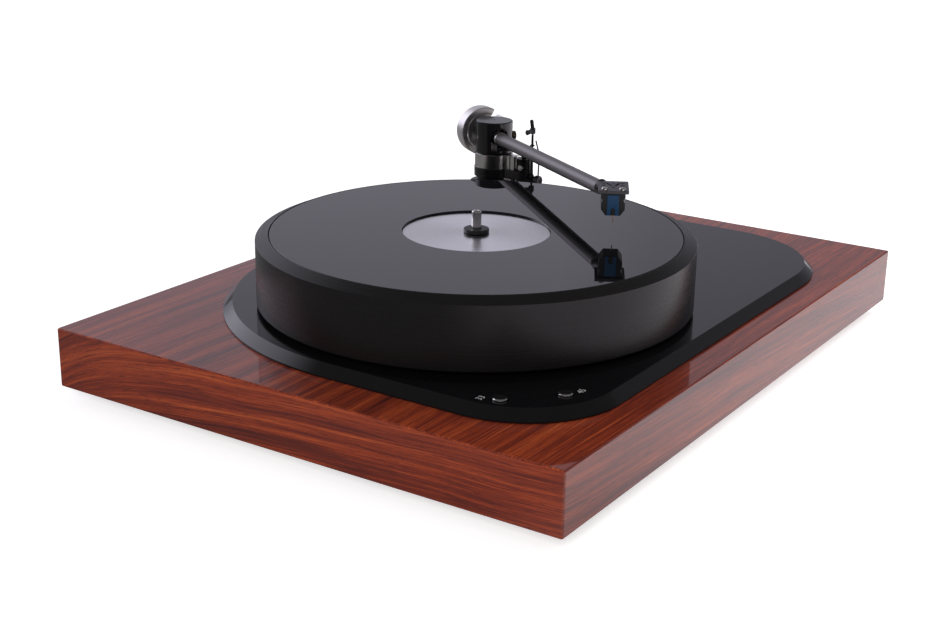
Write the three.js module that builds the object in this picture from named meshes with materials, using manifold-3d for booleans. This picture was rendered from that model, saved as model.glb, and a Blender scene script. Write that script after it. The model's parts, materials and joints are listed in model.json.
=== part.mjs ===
// Turntable record player: solid wood plinth, sub-plate, direct-drive platter and twelve-inch tonearm.
// Units are millimetres, +Z is up, +Y is the rear. The origin is on the surface that the feet stand
// on, under the middle of the plinth.

import * as THREE from "three";
import Module from "manifold-3d";
import { mergeVertices } from "three/addons/utils/BufferGeometryUtils.js";

const wasm = await Module();
wasm.setup();

// Clearances shared by all pieces
const seat = 0.3;           // between two pieces that rest on or sit in each other
const running = 0.35;       // between two pieces that move on each other
const overrun = 1;          // how far a cutting tool passes the face that it opens

// Roundness of turned pieces, in faces round the circle
const finest = 80;
const fine = 36;
const medium = 22;
const coarse = 12;
const cornerFaces = 6;
const edgeFaces = 3;

const degree = Math.PI / 180;
const quarter = Math.PI / 2;
const rightAngle = 90;

// Plinth and feet
const plinthWidth = 543;
const plinthDepth = 417;
const plinthHeight = 44;
const plinthCorner = 1.6;
const plinthEdge = 0.8;
const footHeight = 10;
const footRadius = 22;
const footInsetX = 60;
const footInsetY = 55;
const padRadius = 18;
const padHeight = 3;
const footLip = 1.2;

// Pockets in the underside of the plinth, and the cover that closes them
const wellRadius = 62;
const coverLeft = -150;
const coverRight = 186;
const coverFront = -92;
const coverLap = 4;
const coverThickness = 2.5;
const coverCorner = 8;
const bayLeft = -60;
const bayRight = 118;
const bayDepth = 54;
const bayWall = 12.5;          // between the bay and the recess behind it
const bayRoof = 12;
const channelWidth = 14;
const channelDepth = 12;

// Recess for the terminals in the rear of the plinth
const recessCentre = 10;
const recessWidth = 120;
const recessHeight = 28;
const recessDepth = 24;
const recessFloor = 8;
const panelThickness = 2.5;
const panelLedge = 5;

// Black plate let on to the plinth, with the wood that shows round it
const woodLeft = 33.5;
const woodRight = 39.5;
const woodFront = 21.5;
const woodRear = 21.5;
const plateThickness = 8;
const plateBand = 1.5;
const plateBevel = 7;
const plateFrontCorner = 69;
const plateRearRightCorner = 70;
const plateRearLeftCorner = 190;

// Platter, its bearing and what lies on it
const spindleX = -62.2;
const spindleY = -8.9;
const platterRadius = 160.5;
const platterHeight = 50;
const platterGap = 2.9;
const platterBevel = 9.3;
const platterBevelDrop = 3.8;
const platterFootBevel = 1;
const pocketRadius = 76;
const pocketDepth = 20;
const matRadius = 150.4;
const matThickness = 5;
const matEdge = 0.4;
const matRimGap = 0.5;
const labelRadius = 54.2;
const labelDrop = 1.4;
const spindleRadius = 3.6;
const spindleRise = 15;
const spindleTip = 1.2;
const spindlePitRadius = 1;
const spindlePitDepth = 1.6;
const washerRadius = 9.35;
const washerThickness = 2.8;
const washerEdge = 0.4;

const journalRadius = 8;
const bushWall = 3.6;
const housingWall = 8;
const housingFloor = 6;
const housingBottom = 8;
const housingRise = 16;
const housingFlangeRadius = 31;
const housingFlangeThickness = 4;
const thrustPadThickness = 4;
const ballRadius = 4;
const bushInset = 1;
const shoulderRadius = 22;
const shoulderThickness = 4;
const hubRadius = 12;
const hubTaper = 1;
const hubHeight = 20;

// Motor in the pocket under the platter
const statorOuter = 59;
const statorBoardThickness = 1.6;
const statorYoke = 4;
const statorRim = 3;
const statorTeeth = 9;
const toothWidth = 9;
const toothRise = 9;
const rotorOuter = 74;
const rotorInner = 63;
const rotorHeight = 17;

// Speed buttons, placed from the left and front edges of the plate
const buttonInsets = { button_33: [20, 57], button_45: [51, 28] };
const buttonRadius = 5;
const buttonRise = 1.6;
const buttonTravel = 0.8;
const buttonEdge = 0.6;
const buttonStemRadius = 2.2;
const buttonFlange = 1.4;
const buttonFlangeThickness = 1.2;
const buttonWellRadius = 9;
const buttonWellDepth = 12;
const switchRadius = 7.5;
const switchHeight = 6;

// Electronics and terminals
const boardWidth = 120;
const boardDepth = 40;
const boardThickness = 1.6;
const boardStandoff = 6;
const boardPostRadius = 2.5;
const boardPostInset = 6;
const jackPlaces = { signal_jack_left: -26, signal_jack_right: -4 };
const jackRadius = 4.15;
const jackCollar = 6.5;
const jackCollarThickness = 2;
const jackReach = 9;
const jackBore = 1.7;
const jackTail = 7;
const groundPlace = 18;
const groundRadius = 3;
const groundCap = 5;
const groundCapThickness = 4;
const groundReach = 7;
const powerPlace = 42;
const powerRadius = 7;
const powerBore = 2.8;
const powerPin = 1;
const powerReach = 4;
const powerTail = 9;

// Tonearm: base, pillar and height slide
const pivotX = 154.9;
const pivotY = 115.5;
const armTurn = -38.5;         // degrees from straight ahead, as the arm stands over the record
const baseFlangeRadius = 30;
const baseFlangeThickness = 4;
const towerRadius = 17;
const towerHeight = 29;
const towerCollarRadius = 21;
const towerCollarThickness = 1.4;
const towerCollarCone = 2.6;
const stemRadius = 19;
const stemLength = 26;
const baseNutRadius = 25;
const baseNutThickness = 7;
const armHoleRadius = 27;
const pillarRadius = 12;
const pillarTail = 48;
const clampScrewRadius = 2;
const clampKnobRadius = 4.5;
const clampKnobLength = 6;
const clampScrewDrop = 12;

// Tonearm: clamp ring with the lift, on the pillar
const bracketTurn = -5.5;      // degrees from straight ahead
const ringGap = 1;
const ringHeight = 6.5;
const ringRadius = 17;
const ringStep = 2.4;
const ringStepHeight = 2.6;
const bracketWidth = 10;
const bracketLength = 46;
const liftPlace = 33.4;
const liftRadius = 6.6;
const liftHeight = 23;
const liftBore = 20;
const liftRodRadius = 2;
const liftTravel = 2;
const liftBarWidth = 4;
const liftBarThickness = 2.2;
const liftBarFrom = -46.5;     // degrees from the bracket, towards the record
const liftBarTo = 4;
const bracketScrewRadius = 2;
const bracketScrewHead = 1;
const bracketScrewRise = 9;

// Tonearm: rest post, its locking hook and the cue lever
const restPlace = 41.9;
const restPostRadius = 1.5;
const restPostSeat = 3;
const restSpigotRadius = 1;
const restSpigotHeight = 4;
const hookClearance = 0.6;
const hookHubRadius = 2.7;
const hookHubHeight = 5;
const hookReach = 9;
const hookWidth = 2.4;
const hookThickness = 2.2;
const hookDroop = 1.2;
const hookKnobRadius = 1.9;
const hookKnobLength = 8;
const hookKnobLean = 16;       // degrees
const leverPinRadius = 1;
const leverPinLength = 4.4;
const leverHubRadius = 3.6;
const leverHubThickness = 3;
const leverHeight = 5.5;
const leverRodRadius = 0.6;
const leverRise = 23;
const leverOut = 1.4;
const leverTip = 12;
const leverTipBack = 1.6;

// Tonearm: bearing body, turning housing and pitch pivot
const bodyRadius = 16.7;
const bodyHeight = 16.8;
const bodyLugLength = 25.4;
const bodyLugWidth = 8;
const bodyLugSlit = 1;
const bodyLugSlitPlace = 20.5;
const yawShaftRadius = 4;
const yawShaftTail = 7;
const housingRadius = 16;
const housingHeight = 28;
const housingEdge = 0.5;
const housingScrewRadius = 1;
const housingScrewDepth = 1.5;
const tunnelWidth = 15;
const tunnelFloor = 3.5;
const tunnelCrown = 4.5;
const pitchHeight = 13.6;      // pitch axis above the underside of the housing
const armRise = 3.27;          // degrees, with the cue up
const hubBodyRadius = 6.5;
const hubBodyLength = 18;
const pivotPinRadius = 1.6;
const pivotPinDepth = 2.2;
const pivotKnobRadius = 3.8;
const pivotKnobThickness = 3.2;

// Tonearm: tube, counterweight and head
const ferruleRadius = 5.7;
const ferruleLength = 3;
const tubeRootRadius = 5.1;
const tubeTipRadius = 4.3;
const tubeWall = 0.9;
const tubeSetback = 23.8;      // from the end of the tube to the line of the stylus
const spigotLength = 8;
const armLength = 266.8;
const headTurn = -22;          // degrees from the tube
const stubRadius = 3.5;
const stubEnd = 1;
const weightRadius = 21.5;
const weightThickness = 17;
const weightGap = 5;
const weightInward = 4;
const weightOutward = 5;
const weightEdge = 1;
const weightSlot = 4.5;
const weightSlotTurn = 34;     // degrees from upright
const weightDish = 1.6;
const weightDishRadius = 17;

const headFront = 7.5;
const headBack = -21;
const headFrontWidth = 22.3;
const headBackWidth = 18;
const headTop = 4.4;
const headThickness = 2.4;
const headNeckRadius = 4.3;
const headNeckReach = 6;
const screwSpacing = 12.7;
const headSlotLength = 9;
const headSlotWidth = 2.8;
const headSlotPlace = -9;
const cartridgeScrewRadius = 1.1;
const cartridgeScrewHead = 2;
const cartridgeScrewCap = 1.6;
const cartridgeScrewPlace = 0;
const cartridgeWidth = 17.2;
const cartridgeBack = -14;
const cartridgeFront = 6.2;
const cartridgeHeight = 16;
const cartridgeChamfer = 4;
const cartridgeTap = 3;
const faceWidth = 8.7;
const faceThickness = 0.8;
const archWidth = 3.5;
const archHeight = 7;
const archDepth = 9;
const tipDrop = 21.5;
const cantileverRadius = 0.4;
const cantileverRoot = -6;
const cantileverRise = 4.6;

// Places worked out from the sizes above
const recessInner = plinthDepth / 2 - recessDepth;
const bayRear = recessInner - bayWall;
const bayFront = bayRear - bayDepth;
const coverRear = Math.max(bayRear, pivotY + armHoleRadius) + coverLap;
const plateLeft = woodLeft - plinthWidth / 2;
const plateRight = plinthWidth / 2 - woodRight;
const plateFront = woodFront - plinthDepth / 2;
const plateRear = plinthDepth / 2 - woodRear;
const buttonPlaces = Object.fromEntries(
  Object.entries(buttonInsets).map(([name, [x, y]]) => [name, [plateLeft + x, plateFront + y]]),
);
const tubeEnd = armLength - tubeSetback;
const weightPlace = housingRadius + weightGap + weightInward;
const stubLength = weightPlace + weightThickness + weightOutward + stubEnd;

// Heights worked out from the sizes above
const plinthBottom = footHeight;
const plinthTop = plinthBottom + plinthHeight;
const plateTop = plinthTop + plateThickness;
const platterBottom = plateTop + platterGap;
const platterTop = platterBottom + platterHeight;
const matSeat = platterTop - matThickness - seat;
const pocketRoof = platterBottom + pocketDepth;
const labelTop = platterTop - labelDrop;
const spindleTop = platterTop + spindleRise;
const collarTop = plateTop + towerHeight;
const ringBottom = collarTop + ringGap;
const ringTop = ringBottom + ringHeight;
const bodyBottom = ringTop + seat;
const bodyTop = bodyBottom + bodyHeight;
const housingBase = bodyTop + running;
const housingTop = housingBase + housingHeight;
const pitchZ = housingBase + pitchHeight;
const riseSlope = Math.tan(armRise * degree);
const liftTop = ringBottom + liftHeight;

// Shape helpers

function look(color, roughness, metalness) {
  return new THREE.MeshStandardMaterial({ color, roughness, metalness });
}

// Turns a closed three.js geometry into a solid with its faces pointing out
function solid(geometry) {
  const bare = geometry.index ? geometry.clone() : geometry;
  bare.deleteAttribute("normal");
  bare.deleteAttribute("uv");
  const merged = mergeVertices(bare);
  const index = merged.index.array;
  const points = merged.attributes.position;
  const corners = [new THREE.Vector3(), new THREE.Vector3(), new THREE.Vector3()];
  const triangles = [];
  let volume = 0;
  for (let i = 0; i < index.length; i += 3) {
    const [a, b, c] = index.slice(i, i + 3);
    if (a === b || b === c || c === a) continue;
    triangles.push(a, b, c);
    [a, b, c].forEach((corner, k) => corners[k].fromBufferAttribute(points, corner));
    volume += corners[0].dot(corners[1].clone().cross(corners[2]));
  }
  if (volume < 0) triangles.reverse();
  return new wasm.Manifold(new wasm.Mesh({
    numProp: 3,
    vertProperties: new Float32Array(points.array),
    triVerts: new Uint32Array(triangles),
  }));
}

function cut(body, ...tools) {
  return tools.reduce((rest, tool) => rest.subtract(tool), body);
}

function join(body, ...others) {
  return others.reduce((sum, other) => sum.add(other), body);
}

function piece(name, body, material) {
  const { vertProperties, triVerts } = body.getMesh();
  const geometry = new THREE.BufferGeometry();
  geometry.setAttribute("position", new THREE.BufferAttribute(vertProperties, 3));
  geometry.setIndex(new THREE.BufferAttribute(triVerts, 1));
  geometry.computeVertexNormals();
  const mesh = new THREE.Mesh(geometry, material);
  mesh.name = name;
  return mesh;
}

// Turned piece: profile points are [radius, height], from axis to axis or round a closed loop
function turned(profile, faces) {
  const points = profile.map(([r, z]) => new THREE.Vector2(r, z));
  if (profile[0][0] > 0) points.push(points[0].clone());
  return solid(new THREE.LatheGeometry(points, faces).rotateX(quarter));
}

function cylinder(radius, from, to, faces = coarse) {
  const length = to - from;
  const geometry = new THREE.CylinderGeometry(radius, radius, length, faces);
  return solid(geometry.rotateX(quarter).translate(0, 0, from + length / 2));
}

function ring(inner, outer, from, to, faces) {
  return turned([[inner, from], [outer, from], [outer, to], [inner, to]], faces);
}

function block(x0, x1, y0, y1, z0, z1) {
  const geometry = new THREE.BoxGeometry(x1 - x0, y1 - y0, z1 - z0);
  return solid(geometry.translate((x0 + x1) / 2, (y0 + y1) / 2, (z0 + z1) / 2));
}

// Round bar between two points
function bar(from, to, radius, faces = coarse) {
  const a = new THREE.Vector3(...from);
  const b = new THREE.Vector3(...to);
  const axis = b.clone().sub(a);
  const geometry = new THREE.CylinderGeometry(radius, radius, axis.length(), faces);
  const turn = new THREE.Quaternion().setFromUnitVectors(new THREE.Vector3(0, 1, 0), axis.normalize());
  return solid(geometry.applyQuaternion(turn).translate(...a.add(b).divideScalar(2)));
}

function ball(centre, radius, faces = coarse) {
  return solid(new THREE.SphereGeometry(radius, faces, faces / 2).translate(...centre));
}

// Prism over a flat outline, from one height to another
function prism(outline, from, to) {
  const shape = new THREE.Shape(outline.map(([x, y]) => new THREE.Vector2(x, y)));
  const geometry = new THREE.ExtrudeGeometry(shape, { depth: to - from, bevelEnabled: false });
  return solid(geometry.translate(0, 0, from));
}

// Arc of a circle as outline points; angles in degrees
function arc(x, y, radius, from, to, faces) {
  return Array.from({ length: faces + 1 }, (_, i) => {
    const angle = (from + ((to - from) * i) / faces) * degree;
    return [x + radius * Math.cos(angle), y + radius * Math.sin(angle)];
  });
}

// Rectangle with its own radius at each corner, drawn in by an inset
function roundedOutline({ left, right, front, rear, corners }, inset = 0, faces = cornerFaces) {
  const [frontLeft, frontRight, rearRight, rearLeft] = corners;
  return [
    ...arc(left + frontLeft, front + frontLeft, frontLeft - inset, 180, 270, faces),
    ...arc(right - frontRight, front + frontRight, frontRight - inset, 270, 360, faces),
    ...arc(right - rearRight, rear - rearRight, rearRight - inset, 0, 90, faces),
    ...arc(left + rearLeft, rear - rearLeft, rearLeft - inset, 90, 180, faces),
  ];
}

// Solid through outlines with the same number of points, one for each height
function loft(levels) {
  const count = levels[0].outline.length;
  const positions = levels.flatMap(({ outline, z }) => outline.flatMap(([x, y]) => [x, y, z]));
  const index = [];
  for (let level = 0; level + 1 < levels.length; level += 1) {
    for (let i = 0; i < count; i += 1) {
      const a = level * count + i;
      const b = level * count + ((i + 1) % count);
      index.push(a, b, b + count, a, b + count, a + count);
    }
  }
  const floor = levels[0].outline.map(([x, y]) => new THREE.Vector2(x, y));
  const last = (levels.length - 1) * count;
  for (const [a, b, c] of THREE.ShapeUtils.triangulateShape(floor, [])) {
    index.push(a, c, b);
    index.push(last + a, last + b, last + c);
  }
  const geometry = new THREE.BufferGeometry();
  geometry.setAttribute("position", new THREE.BufferAttribute(new Float32Array(positions), 3));
  geometry.setIndex(index);
  return solid(geometry);
}

function even(radius) {
  return [radius, radius, radius, radius];
}

function at(body, x, y, z = 0) {
  return body.translate([x, y, z]);
}

// Group that stands at a point and is turned about the vertical, in degrees
function station(x, y, turn = 0) {
  const group = new THREE.Group();
  group.position.set(x, y, 0);
  group.rotation.z = turn * degree;
  return group;
}

// Plinth, feet and underside

function plinthOutline(inset) {
  const outline = {
    left: -plinthWidth / 2,
    right: plinthWidth / 2,
    front: -plinthDepth / 2,
    rear: plinthDepth / 2,
    corners: even(plinthCorner),
  };
  return roundedOutline(outline, inset, edgeFaces);
}

function coverOutline(inset) {
  const outline = {
    left: coverLeft, right: coverRight, front: coverFront, rear: coverRear, corners: even(coverCorner),
  };
  return roundedOutline(outline, inset);
}

function buttonChannel([x, y]) {
  const length = Math.hypot(spindleX - x, spindleY - y);
  const angle = Math.atan2(spindleY - y, spindleX - x) / degree;
  const groove = block(0, length, -buttonWellRadius / 2, buttonWellRadius / 2,
    plinthTop - buttonWellDepth / 2, plinthTop + overrun);
  return at(groove.rotate([0, 0, angle]), x, y);
}

function plinth() {
  const wood = loft([
    { outline: plinthOutline(plinthEdge), z: plinthBottom },
    { outline: plinthOutline(0), z: plinthBottom + plinthEdge },
    { outline: plinthOutline(0), z: plinthTop - plinthEdge },
    { outline: plinthOutline(plinthEdge), z: plinthTop },
  ]);
  const under = plinthBottom - overrun;
  const over = plinthTop + overrun;
  const well = at(cylinder(wellRadius, under, over, fine), spindleX, spindleY);
  const armHole = at(cylinder(armHoleRadius, under, over, medium), pivotX, pivotY);
  const coverSeat = prism(coverOutline(0), under, plinthBottom + coverThickness + seat);
  const bay = block(bayLeft, bayRight, bayFront, bayRear, under, plinthTop - bayRoof);
  const channel = block(bayLeft, bayLeft + channelWidth, spindleY, bayFront + overrun,
    under, plinthBottom + coverThickness + channelDepth);
  const armChannel = block(bayRight - overrun, pivotX, bayFront, bayFront + channelWidth,
    under, plinthBottom + coverThickness + channelDepth);
  const recessLow = plinthBottom + recessFloor;
  const recess = block(recessCentre - recessWidth / 2, recessCentre + recessWidth / 2,
    recessInner, plinthDepth / 2 + overrun, recessLow, recessLow + recessHeight);
  const window = block(recessCentre - recessWidth / 2 + panelLedge, recessCentre + recessWidth / 2 - panelLedge,
    bayRear - overrun, recessInner + overrun, recessLow + panelLedge, recessLow + recessHeight - panelLedge);
  const buttonWells = Object.values(buttonPlaces).flatMap(([x, y]) => [
    at(cylinder(buttonWellRadius, plinthTop - buttonWellDepth, over), x, y),
    buttonChannel([x, y]),
  ]);
  const body = cut(wood, well, armHole, coverSeat, bay, channel, armChannel, recess, window, ...buttonWells);
  return piece("plinth", body, look(0x5e2415, 0.18, 0));
}

function bottomCover() {
  const plate = prism(coverOutline(seat), plinthBottom, plinthBottom + coverThickness);
  return piece("bottom_cover", plate, look(0x1b1b1c, 0.5, 0.6));
}

function feet() {
  const parts = [];
  const places = {
    front_left: [-1, -1], front_right: [1, -1], rear_left: [-1, 1], rear_right: [1, 1],
  };
  for (const [place, [sideX, sideY]] of Object.entries(places)) {
    const x = sideX * (plinthWidth / 2 - footInsetX);
    const y = sideY * (plinthDepth / 2 - footInsetY);
    const top = plinthBottom - seat;
    const cup = padHeight - footLip;
    const foot = turned([
      [0, cup + seat], [padRadius + seat, cup + seat], [padRadius + seat, footLip],
      [footRadius - footLip, footLip], [footRadius, footLip * 2], [footRadius, top], [0, top],
    ], medium);
    const pad = turned([
      [0, 0], [padRadius - footLip, 0], [padRadius, footLip], [padRadius, cup], [0, cup],
    ], medium);
    parts.push(piece(`foot_${place}`, at(foot, x, y), look(0x141415, 0.35, 0.7)));
    parts.push(piece(`foot_pad_${place}`, at(pad, x, y), look(0x0c0c0c, 0.9, 0)));
  }
  return parts;
}

// Plate, buttons and switches

function plateOutline(inset) {
  const outline = {
    left: plateLeft,
    right: plateRight,
    front: plateFront,
    rear: plateRear,
    corners: [plateFrontCorner, plateFrontCorner, plateRearRightCorner, plateRearLeftCorner],
  };
  return roundedOutline(outline, inset, cornerFaces * 2);
}

function topPlate() {
  const slab = loft([
    { outline: plateOutline(0), z: plinthTop + seat },
    { outline: plateOutline(0), z: plinthTop + plateBand },
    { outline: plateOutline(plateBevel), z: plateTop },
  ]);
  const under = plinthTop - overrun;
  const over = plateTop + overrun;
  const bearingHole = at(cylinder(bearingRadii().housingOuter + seat, under, over, medium), spindleX, spindleY);
  const armHole = at(cylinder(stemRadius + seat, under, over, medium), pivotX, pivotY);
  const buttonHoles = Object.values(buttonPlaces).flatMap(([x, y]) => [
    at(cylinder(buttonRadius + running, under, over), x, y),
    at(cylinder(buttonRadius + buttonFlange + running, under, buttonFlangeTop() + seat), x, y),
  ]);
  const body = cut(slab, bearingHole, armHole, ...buttonHoles);
  return piece("top_plate", body, look(0x0b0b0c, 0.08, 0));
}

function buttonFlangeTop() {
  return plinthTop + seat + buttonTravel + buttonFlangeThickness;
}

function buttons() {
  return Object.entries(buttonPlaces).map(([name, [x, y]]) => {
    const top = plateTop + buttonRise;
    const flangeTop = buttonFlangeTop();
    const flangeRadius = buttonRadius + buttonFlange;
    const cap = turned([
      [0, plinthTop - buttonTravel], [buttonStemRadius, plinthTop - buttonTravel],
      [buttonStemRadius, flangeTop - buttonFlangeThickness], [flangeRadius, flangeTop - buttonFlangeThickness],
      [flangeRadius, flangeTop], [buttonRadius, flangeTop], [buttonRadius, top - buttonEdge],
      [buttonRadius - buttonEdge, top], [0, top - buttonEdge / 2],
    ], coarse);
    return piece(name, at(cap, x, y), look(0xb9bbbe, 0.15, 1));
  });
}

function switches() {
  return Object.entries(buttonPlaces).map(([name, [x, y]]) => {
    const floor = plinthTop - buttonWellDepth + seat;
    const can = cylinder(switchRadius, floor, floor + switchHeight);
    const contactTop = plinthTop - buttonTravel * 2 - running;
    const contact = cylinder(buttonStemRadius, floor + switchHeight / 2, contactTop);
    return piece(name.replace("button", "switch"), at(join(can, contact), x, y), look(0x202224, 0.6, 0));
  });
}

// Bearing and motor

function bearingRadii() {
  const bushInner = journalRadius + running;
  const bushOuter = bushInner + bushWall;
  const housingInner = bushOuter + seat;
  return { bushInner, bushOuter, housingInner, housingOuter: housingInner + housingWall };
}

function bearingHeights() {
  const bottom = plinthBottom + housingBottom;
  const floor = bottom + housingFloor;
  const top = plateTop + housingRise;
  const padTop = floor + seat + thrustPadThickness;
  const journalBottom = padTop + seat + 2 * ballRadius + seat;
  return { bottom, floor, top, padTop, journalBottom };
}

function bearing() {
  const { bushInner, bushOuter, housingInner, housingOuter } = bearingRadii();
  const { bottom, floor, top, padTop, journalBottom } = bearingHeights();
  const flange = plateTop + seat;
  const housing = turned([
    [0, bottom], [housingOuter, bottom], [housingOuter, flange], [housingFlangeRadius, flange],
    [housingFlangeRadius, flange + housingFlangeThickness], [housingOuter, flange + housingFlangeThickness],
    [housingOuter, top], [housingInner, top], [housingInner, floor], [0, floor],
  ], medium);
  const bush = ring(bushInner, bushOuter, journalBottom, top - bushInset, medium);
  const pad = cylinder(bushOuter, floor + seat, padTop, medium);
  const thrustBall = ball([0, 0, padTop + seat + ballRadius], ballRadius);
  return [
    piece("bearing_housing", at(housing, spindleX, spindleY), look(0x8e9093, 0.35, 1)),
    piece("bearing_bush", at(bush, spindleX, spindleY), look(0xa8813d, 0.35, 1)),
    piece("thrust_pad", at(pad, spindleX, spindleY), look(0xe6e2d6, 0.5, 0)),
    piece("thrust_ball", at(thrustBall, spindleX, spindleY), look(0xc8cacc, 0.08, 1)),
  ];
}

function shaft() {
  const { journalBottom } = bearingHeights();
  const shoulderTop = pocketRoof - seat;
  const hubTop = pocketRoof + hubHeight;
  const body = turned([
    [0, journalBottom], [journalRadius, journalBottom], [journalRadius, shoulderTop - shoulderThickness],
    [shoulderRadius, shoulderTop - shoulderThickness], [shoulderRadius, shoulderTop],
    [hubRadius, shoulderTop], [hubRadius - hubTaper, hubTop], [spindleRadius, hubTop],
    [spindleRadius, spindleTop - spindleTip], [spindleRadius - spindleTip / 3, spindleTop - spindleTip / 3],
    [spindleRadius - spindleTip, spindleTop], [spindlePitRadius, spindleTop],
    [0, spindleTop - spindlePitDepth],
  ], medium);
  return piece("bearing_shaft", at(body, spindleX, spindleY), look(0xb4b4b2, 0.12, 1));
}

function stator() {
  const base = plateTop + seat;
  const inner = housingFlangeRadius + seat;
  const board = ring(inner, statorOuter, base, base + statorBoardThickness, fine);
  const low = base + statorBoardThickness + seat;
  const outer = statorOuter - statorRim;
  let core = ring(inner + statorRim, outer, low, low + statorYoke, fine);
  for (let i = 0; i < statorTeeth; i += 1) {
    const tooth = block(inner + statorRim * 2, outer - statorRim, -toothWidth / 2, toothWidth / 2,
      low + statorYoke / 2, low + statorYoke + toothRise);
    core = join(core, tooth.rotate([0, 0, (360 * i) / statorTeeth]));
  }
  return [
    piece("stator_board", at(board, spindleX, spindleY), look(0x1f4a2c, 0.5, 0)),
    piece("stator_core", at(core, spindleX, spindleY), look(0xa86a3a, 0.4, 0.8)),
  ];
}

// Platter and what lies on it

function platter() {
  const rim = matRadius + matRimGap;
  const hubTop = pocketRoof + hubHeight + seat;
  const bore = hubRadius + seat;
  const body = turned([
    [spindleRadius + seat, matSeat], [rim, matSeat], [rim, platterTop],
    [platterRadius - platterBevel, platterTop], [platterRadius, platterTop - platterBevelDrop],
    [platterRadius, platterBottom + platterFootBevel], [platterRadius - platterFootBevel, platterBottom],
    [pocketRadius, platterBottom], [pocketRadius, pocketRoof], [bore, pocketRoof],
    [bore - hubTaper, hubTop], [spindleRadius + seat, hubTop],
  ], finest);
  return piece("platter", at(body, spindleX, spindleY), look(0x161617, 0.38, 0.8));
}

function rotorRing() {
  const top = pocketRoof - seat;
  const body = ring(rotorInner, rotorOuter, top - rotorHeight, top, fine);
  return piece("rotor_ring", at(body, spindleX, spindleY), look(0x4b4b4d, 0.4, 0.9));
}

function mat() {
  const bottom = matSeat + seat;
  const body = turned([
    [labelRadius, bottom], [matRadius, bottom], [matRadius, platterTop - matEdge],
    [matRadius - matEdge, platterTop], [labelRadius + matEdge, platterTop], [labelRadius, platterTop - matEdge],
  ], finest);
  return piece("mat", at(body, spindleX, spindleY), look(0x0a0a0b, 0.05, 0));
}

function labelDisc() {
  const body = ring(spindleRadius + seat, labelRadius - seat, matSeat + seat, labelTop, fine);
  return piece("label_disc", at(body, spindleX, spindleY), look(0xa9a9ab, 0.3, 1));
}

function spindleWasher() {
  const bottom = labelTop + seat;
  const top = bottom + washerThickness;
  const inner = spindleRadius + running;
  const body = turned([
    [inner, bottom], [washerRadius, bottom], [washerRadius, top - washerEdge],
    [washerRadius - washerEdge, top], [inner, top],
  ], medium);
  return piece("spindle_washer", at(body, spindleX, spindleY), look(0x111112, 0.4, 0));
}

// Electronics and terminals

function controlBoard() {
  const middle = (bayLeft + bayRight) / 2;
  const centre = (bayFront + bayRear) / 2;
  const roof = plinthTop - bayRoof;
  const low = roof - boardStandoff - boardThickness;
  let body = block(middle - boardWidth / 2, middle + boardWidth / 2,
    centre - boardDepth / 2, centre + boardDepth / 2, low, low + boardThickness);
  for (const sideX of [-1, 1]) {
    for (const sideY of [-1, 1]) {
      const post = cylinder(boardPostRadius, low + boardThickness / 2, roof - seat);
      const x = middle + sideX * (boardWidth / 2 - boardPostInset);
      const y = centre + sideY * (boardDepth / 2 - boardPostInset);
      body = join(body, at(post, x, y));
    }
  }
  return piece("control_board", body, look(0x1f4a2c, 0.5, 0));
}

// Terminals are turned along +Z and laid over so that they point out of the rear
function rearward(body, x, y, z) {
  return body.rotate([-90, 0, 0]).translate([x, y, z]);
}

function terminals() {
  const low = plinthBottom + recessFloor;
  const z = low + recessHeight / 2;
  const face = recessInner + seat + panelThickness;
  const places = [...Object.values(jackPlaces), groundPlace, powerPlace];
  const holes = [jackRadius, jackRadius, groundRadius, powerRadius].map((radius, i) => {
    const hole = cylinder(radius + seat, -panelThickness * 2, panelThickness * 2);
    return rearward(hole, recessCentre + places[i], face, z);
  });
  const panel = block(recessCentre - recessWidth / 2 + seat, recessCentre + recessWidth / 2 - seat,
    recessInner + seat, face, low + seat, low + recessHeight - seat);
  const parts = [piece("terminal_panel", cut(panel, ...holes), look(0x1a1a1b, 0.4, 0.8))];
  for (const [name, place] of Object.entries(jackPlaces)) {
    const jack = turned([
      [0, -panelThickness - jackTail], [jackRadius, -panelThickness - jackTail], [jackRadius, seat],
      [jackCollar, seat], [jackCollar, seat + jackCollarThickness], [jackRadius, seat + jackCollarThickness],
      [jackRadius, jackReach], [jackBore, jackReach], [jackBore, 0], [0, 0],
    ], coarse);
    parts.push(piece(name, rearward(jack, recessCentre + place, face, z), look(0xc9a24b, 0.25, 1)));
  }
  const ground = turned([
    [0, -panelThickness - jackTail], [groundRadius, -panelThickness - jackTail], [groundRadius, seat],
    [groundCap, seat], [groundCap, seat + groundCapThickness], [groundRadius, seat + groundCapThickness],
    [groundRadius, groundReach], [0, groundReach],
  ], coarse);
  parts.push(piece("ground_post", rearward(ground, recessCentre + groundPlace, face, z), look(0xb9bbbe, 0.2, 1)));
  const power = turned([
    [0, -panelThickness - powerTail], [powerRadius, -panelThickness - powerTail], [powerRadius, seat],
    [powerRadius + jackCollarThickness, seat], [powerRadius + jackCollarThickness, powerReach],
    [powerBore, powerReach], [powerBore, -powerTail / 2], [powerPin, -powerTail / 2],
    [powerPin, powerReach - jackCollarThickness], [0, powerReach - jackCollarThickness],
  ], coarse);
  parts.push(piece("power_inlet", rearward(power, recessCentre + powerPlace, face, z), look(0x161617, 0.45, 0)));
  return parts;
}

// Tonearm base and pillar, in the frame of the arm pivot

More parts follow.
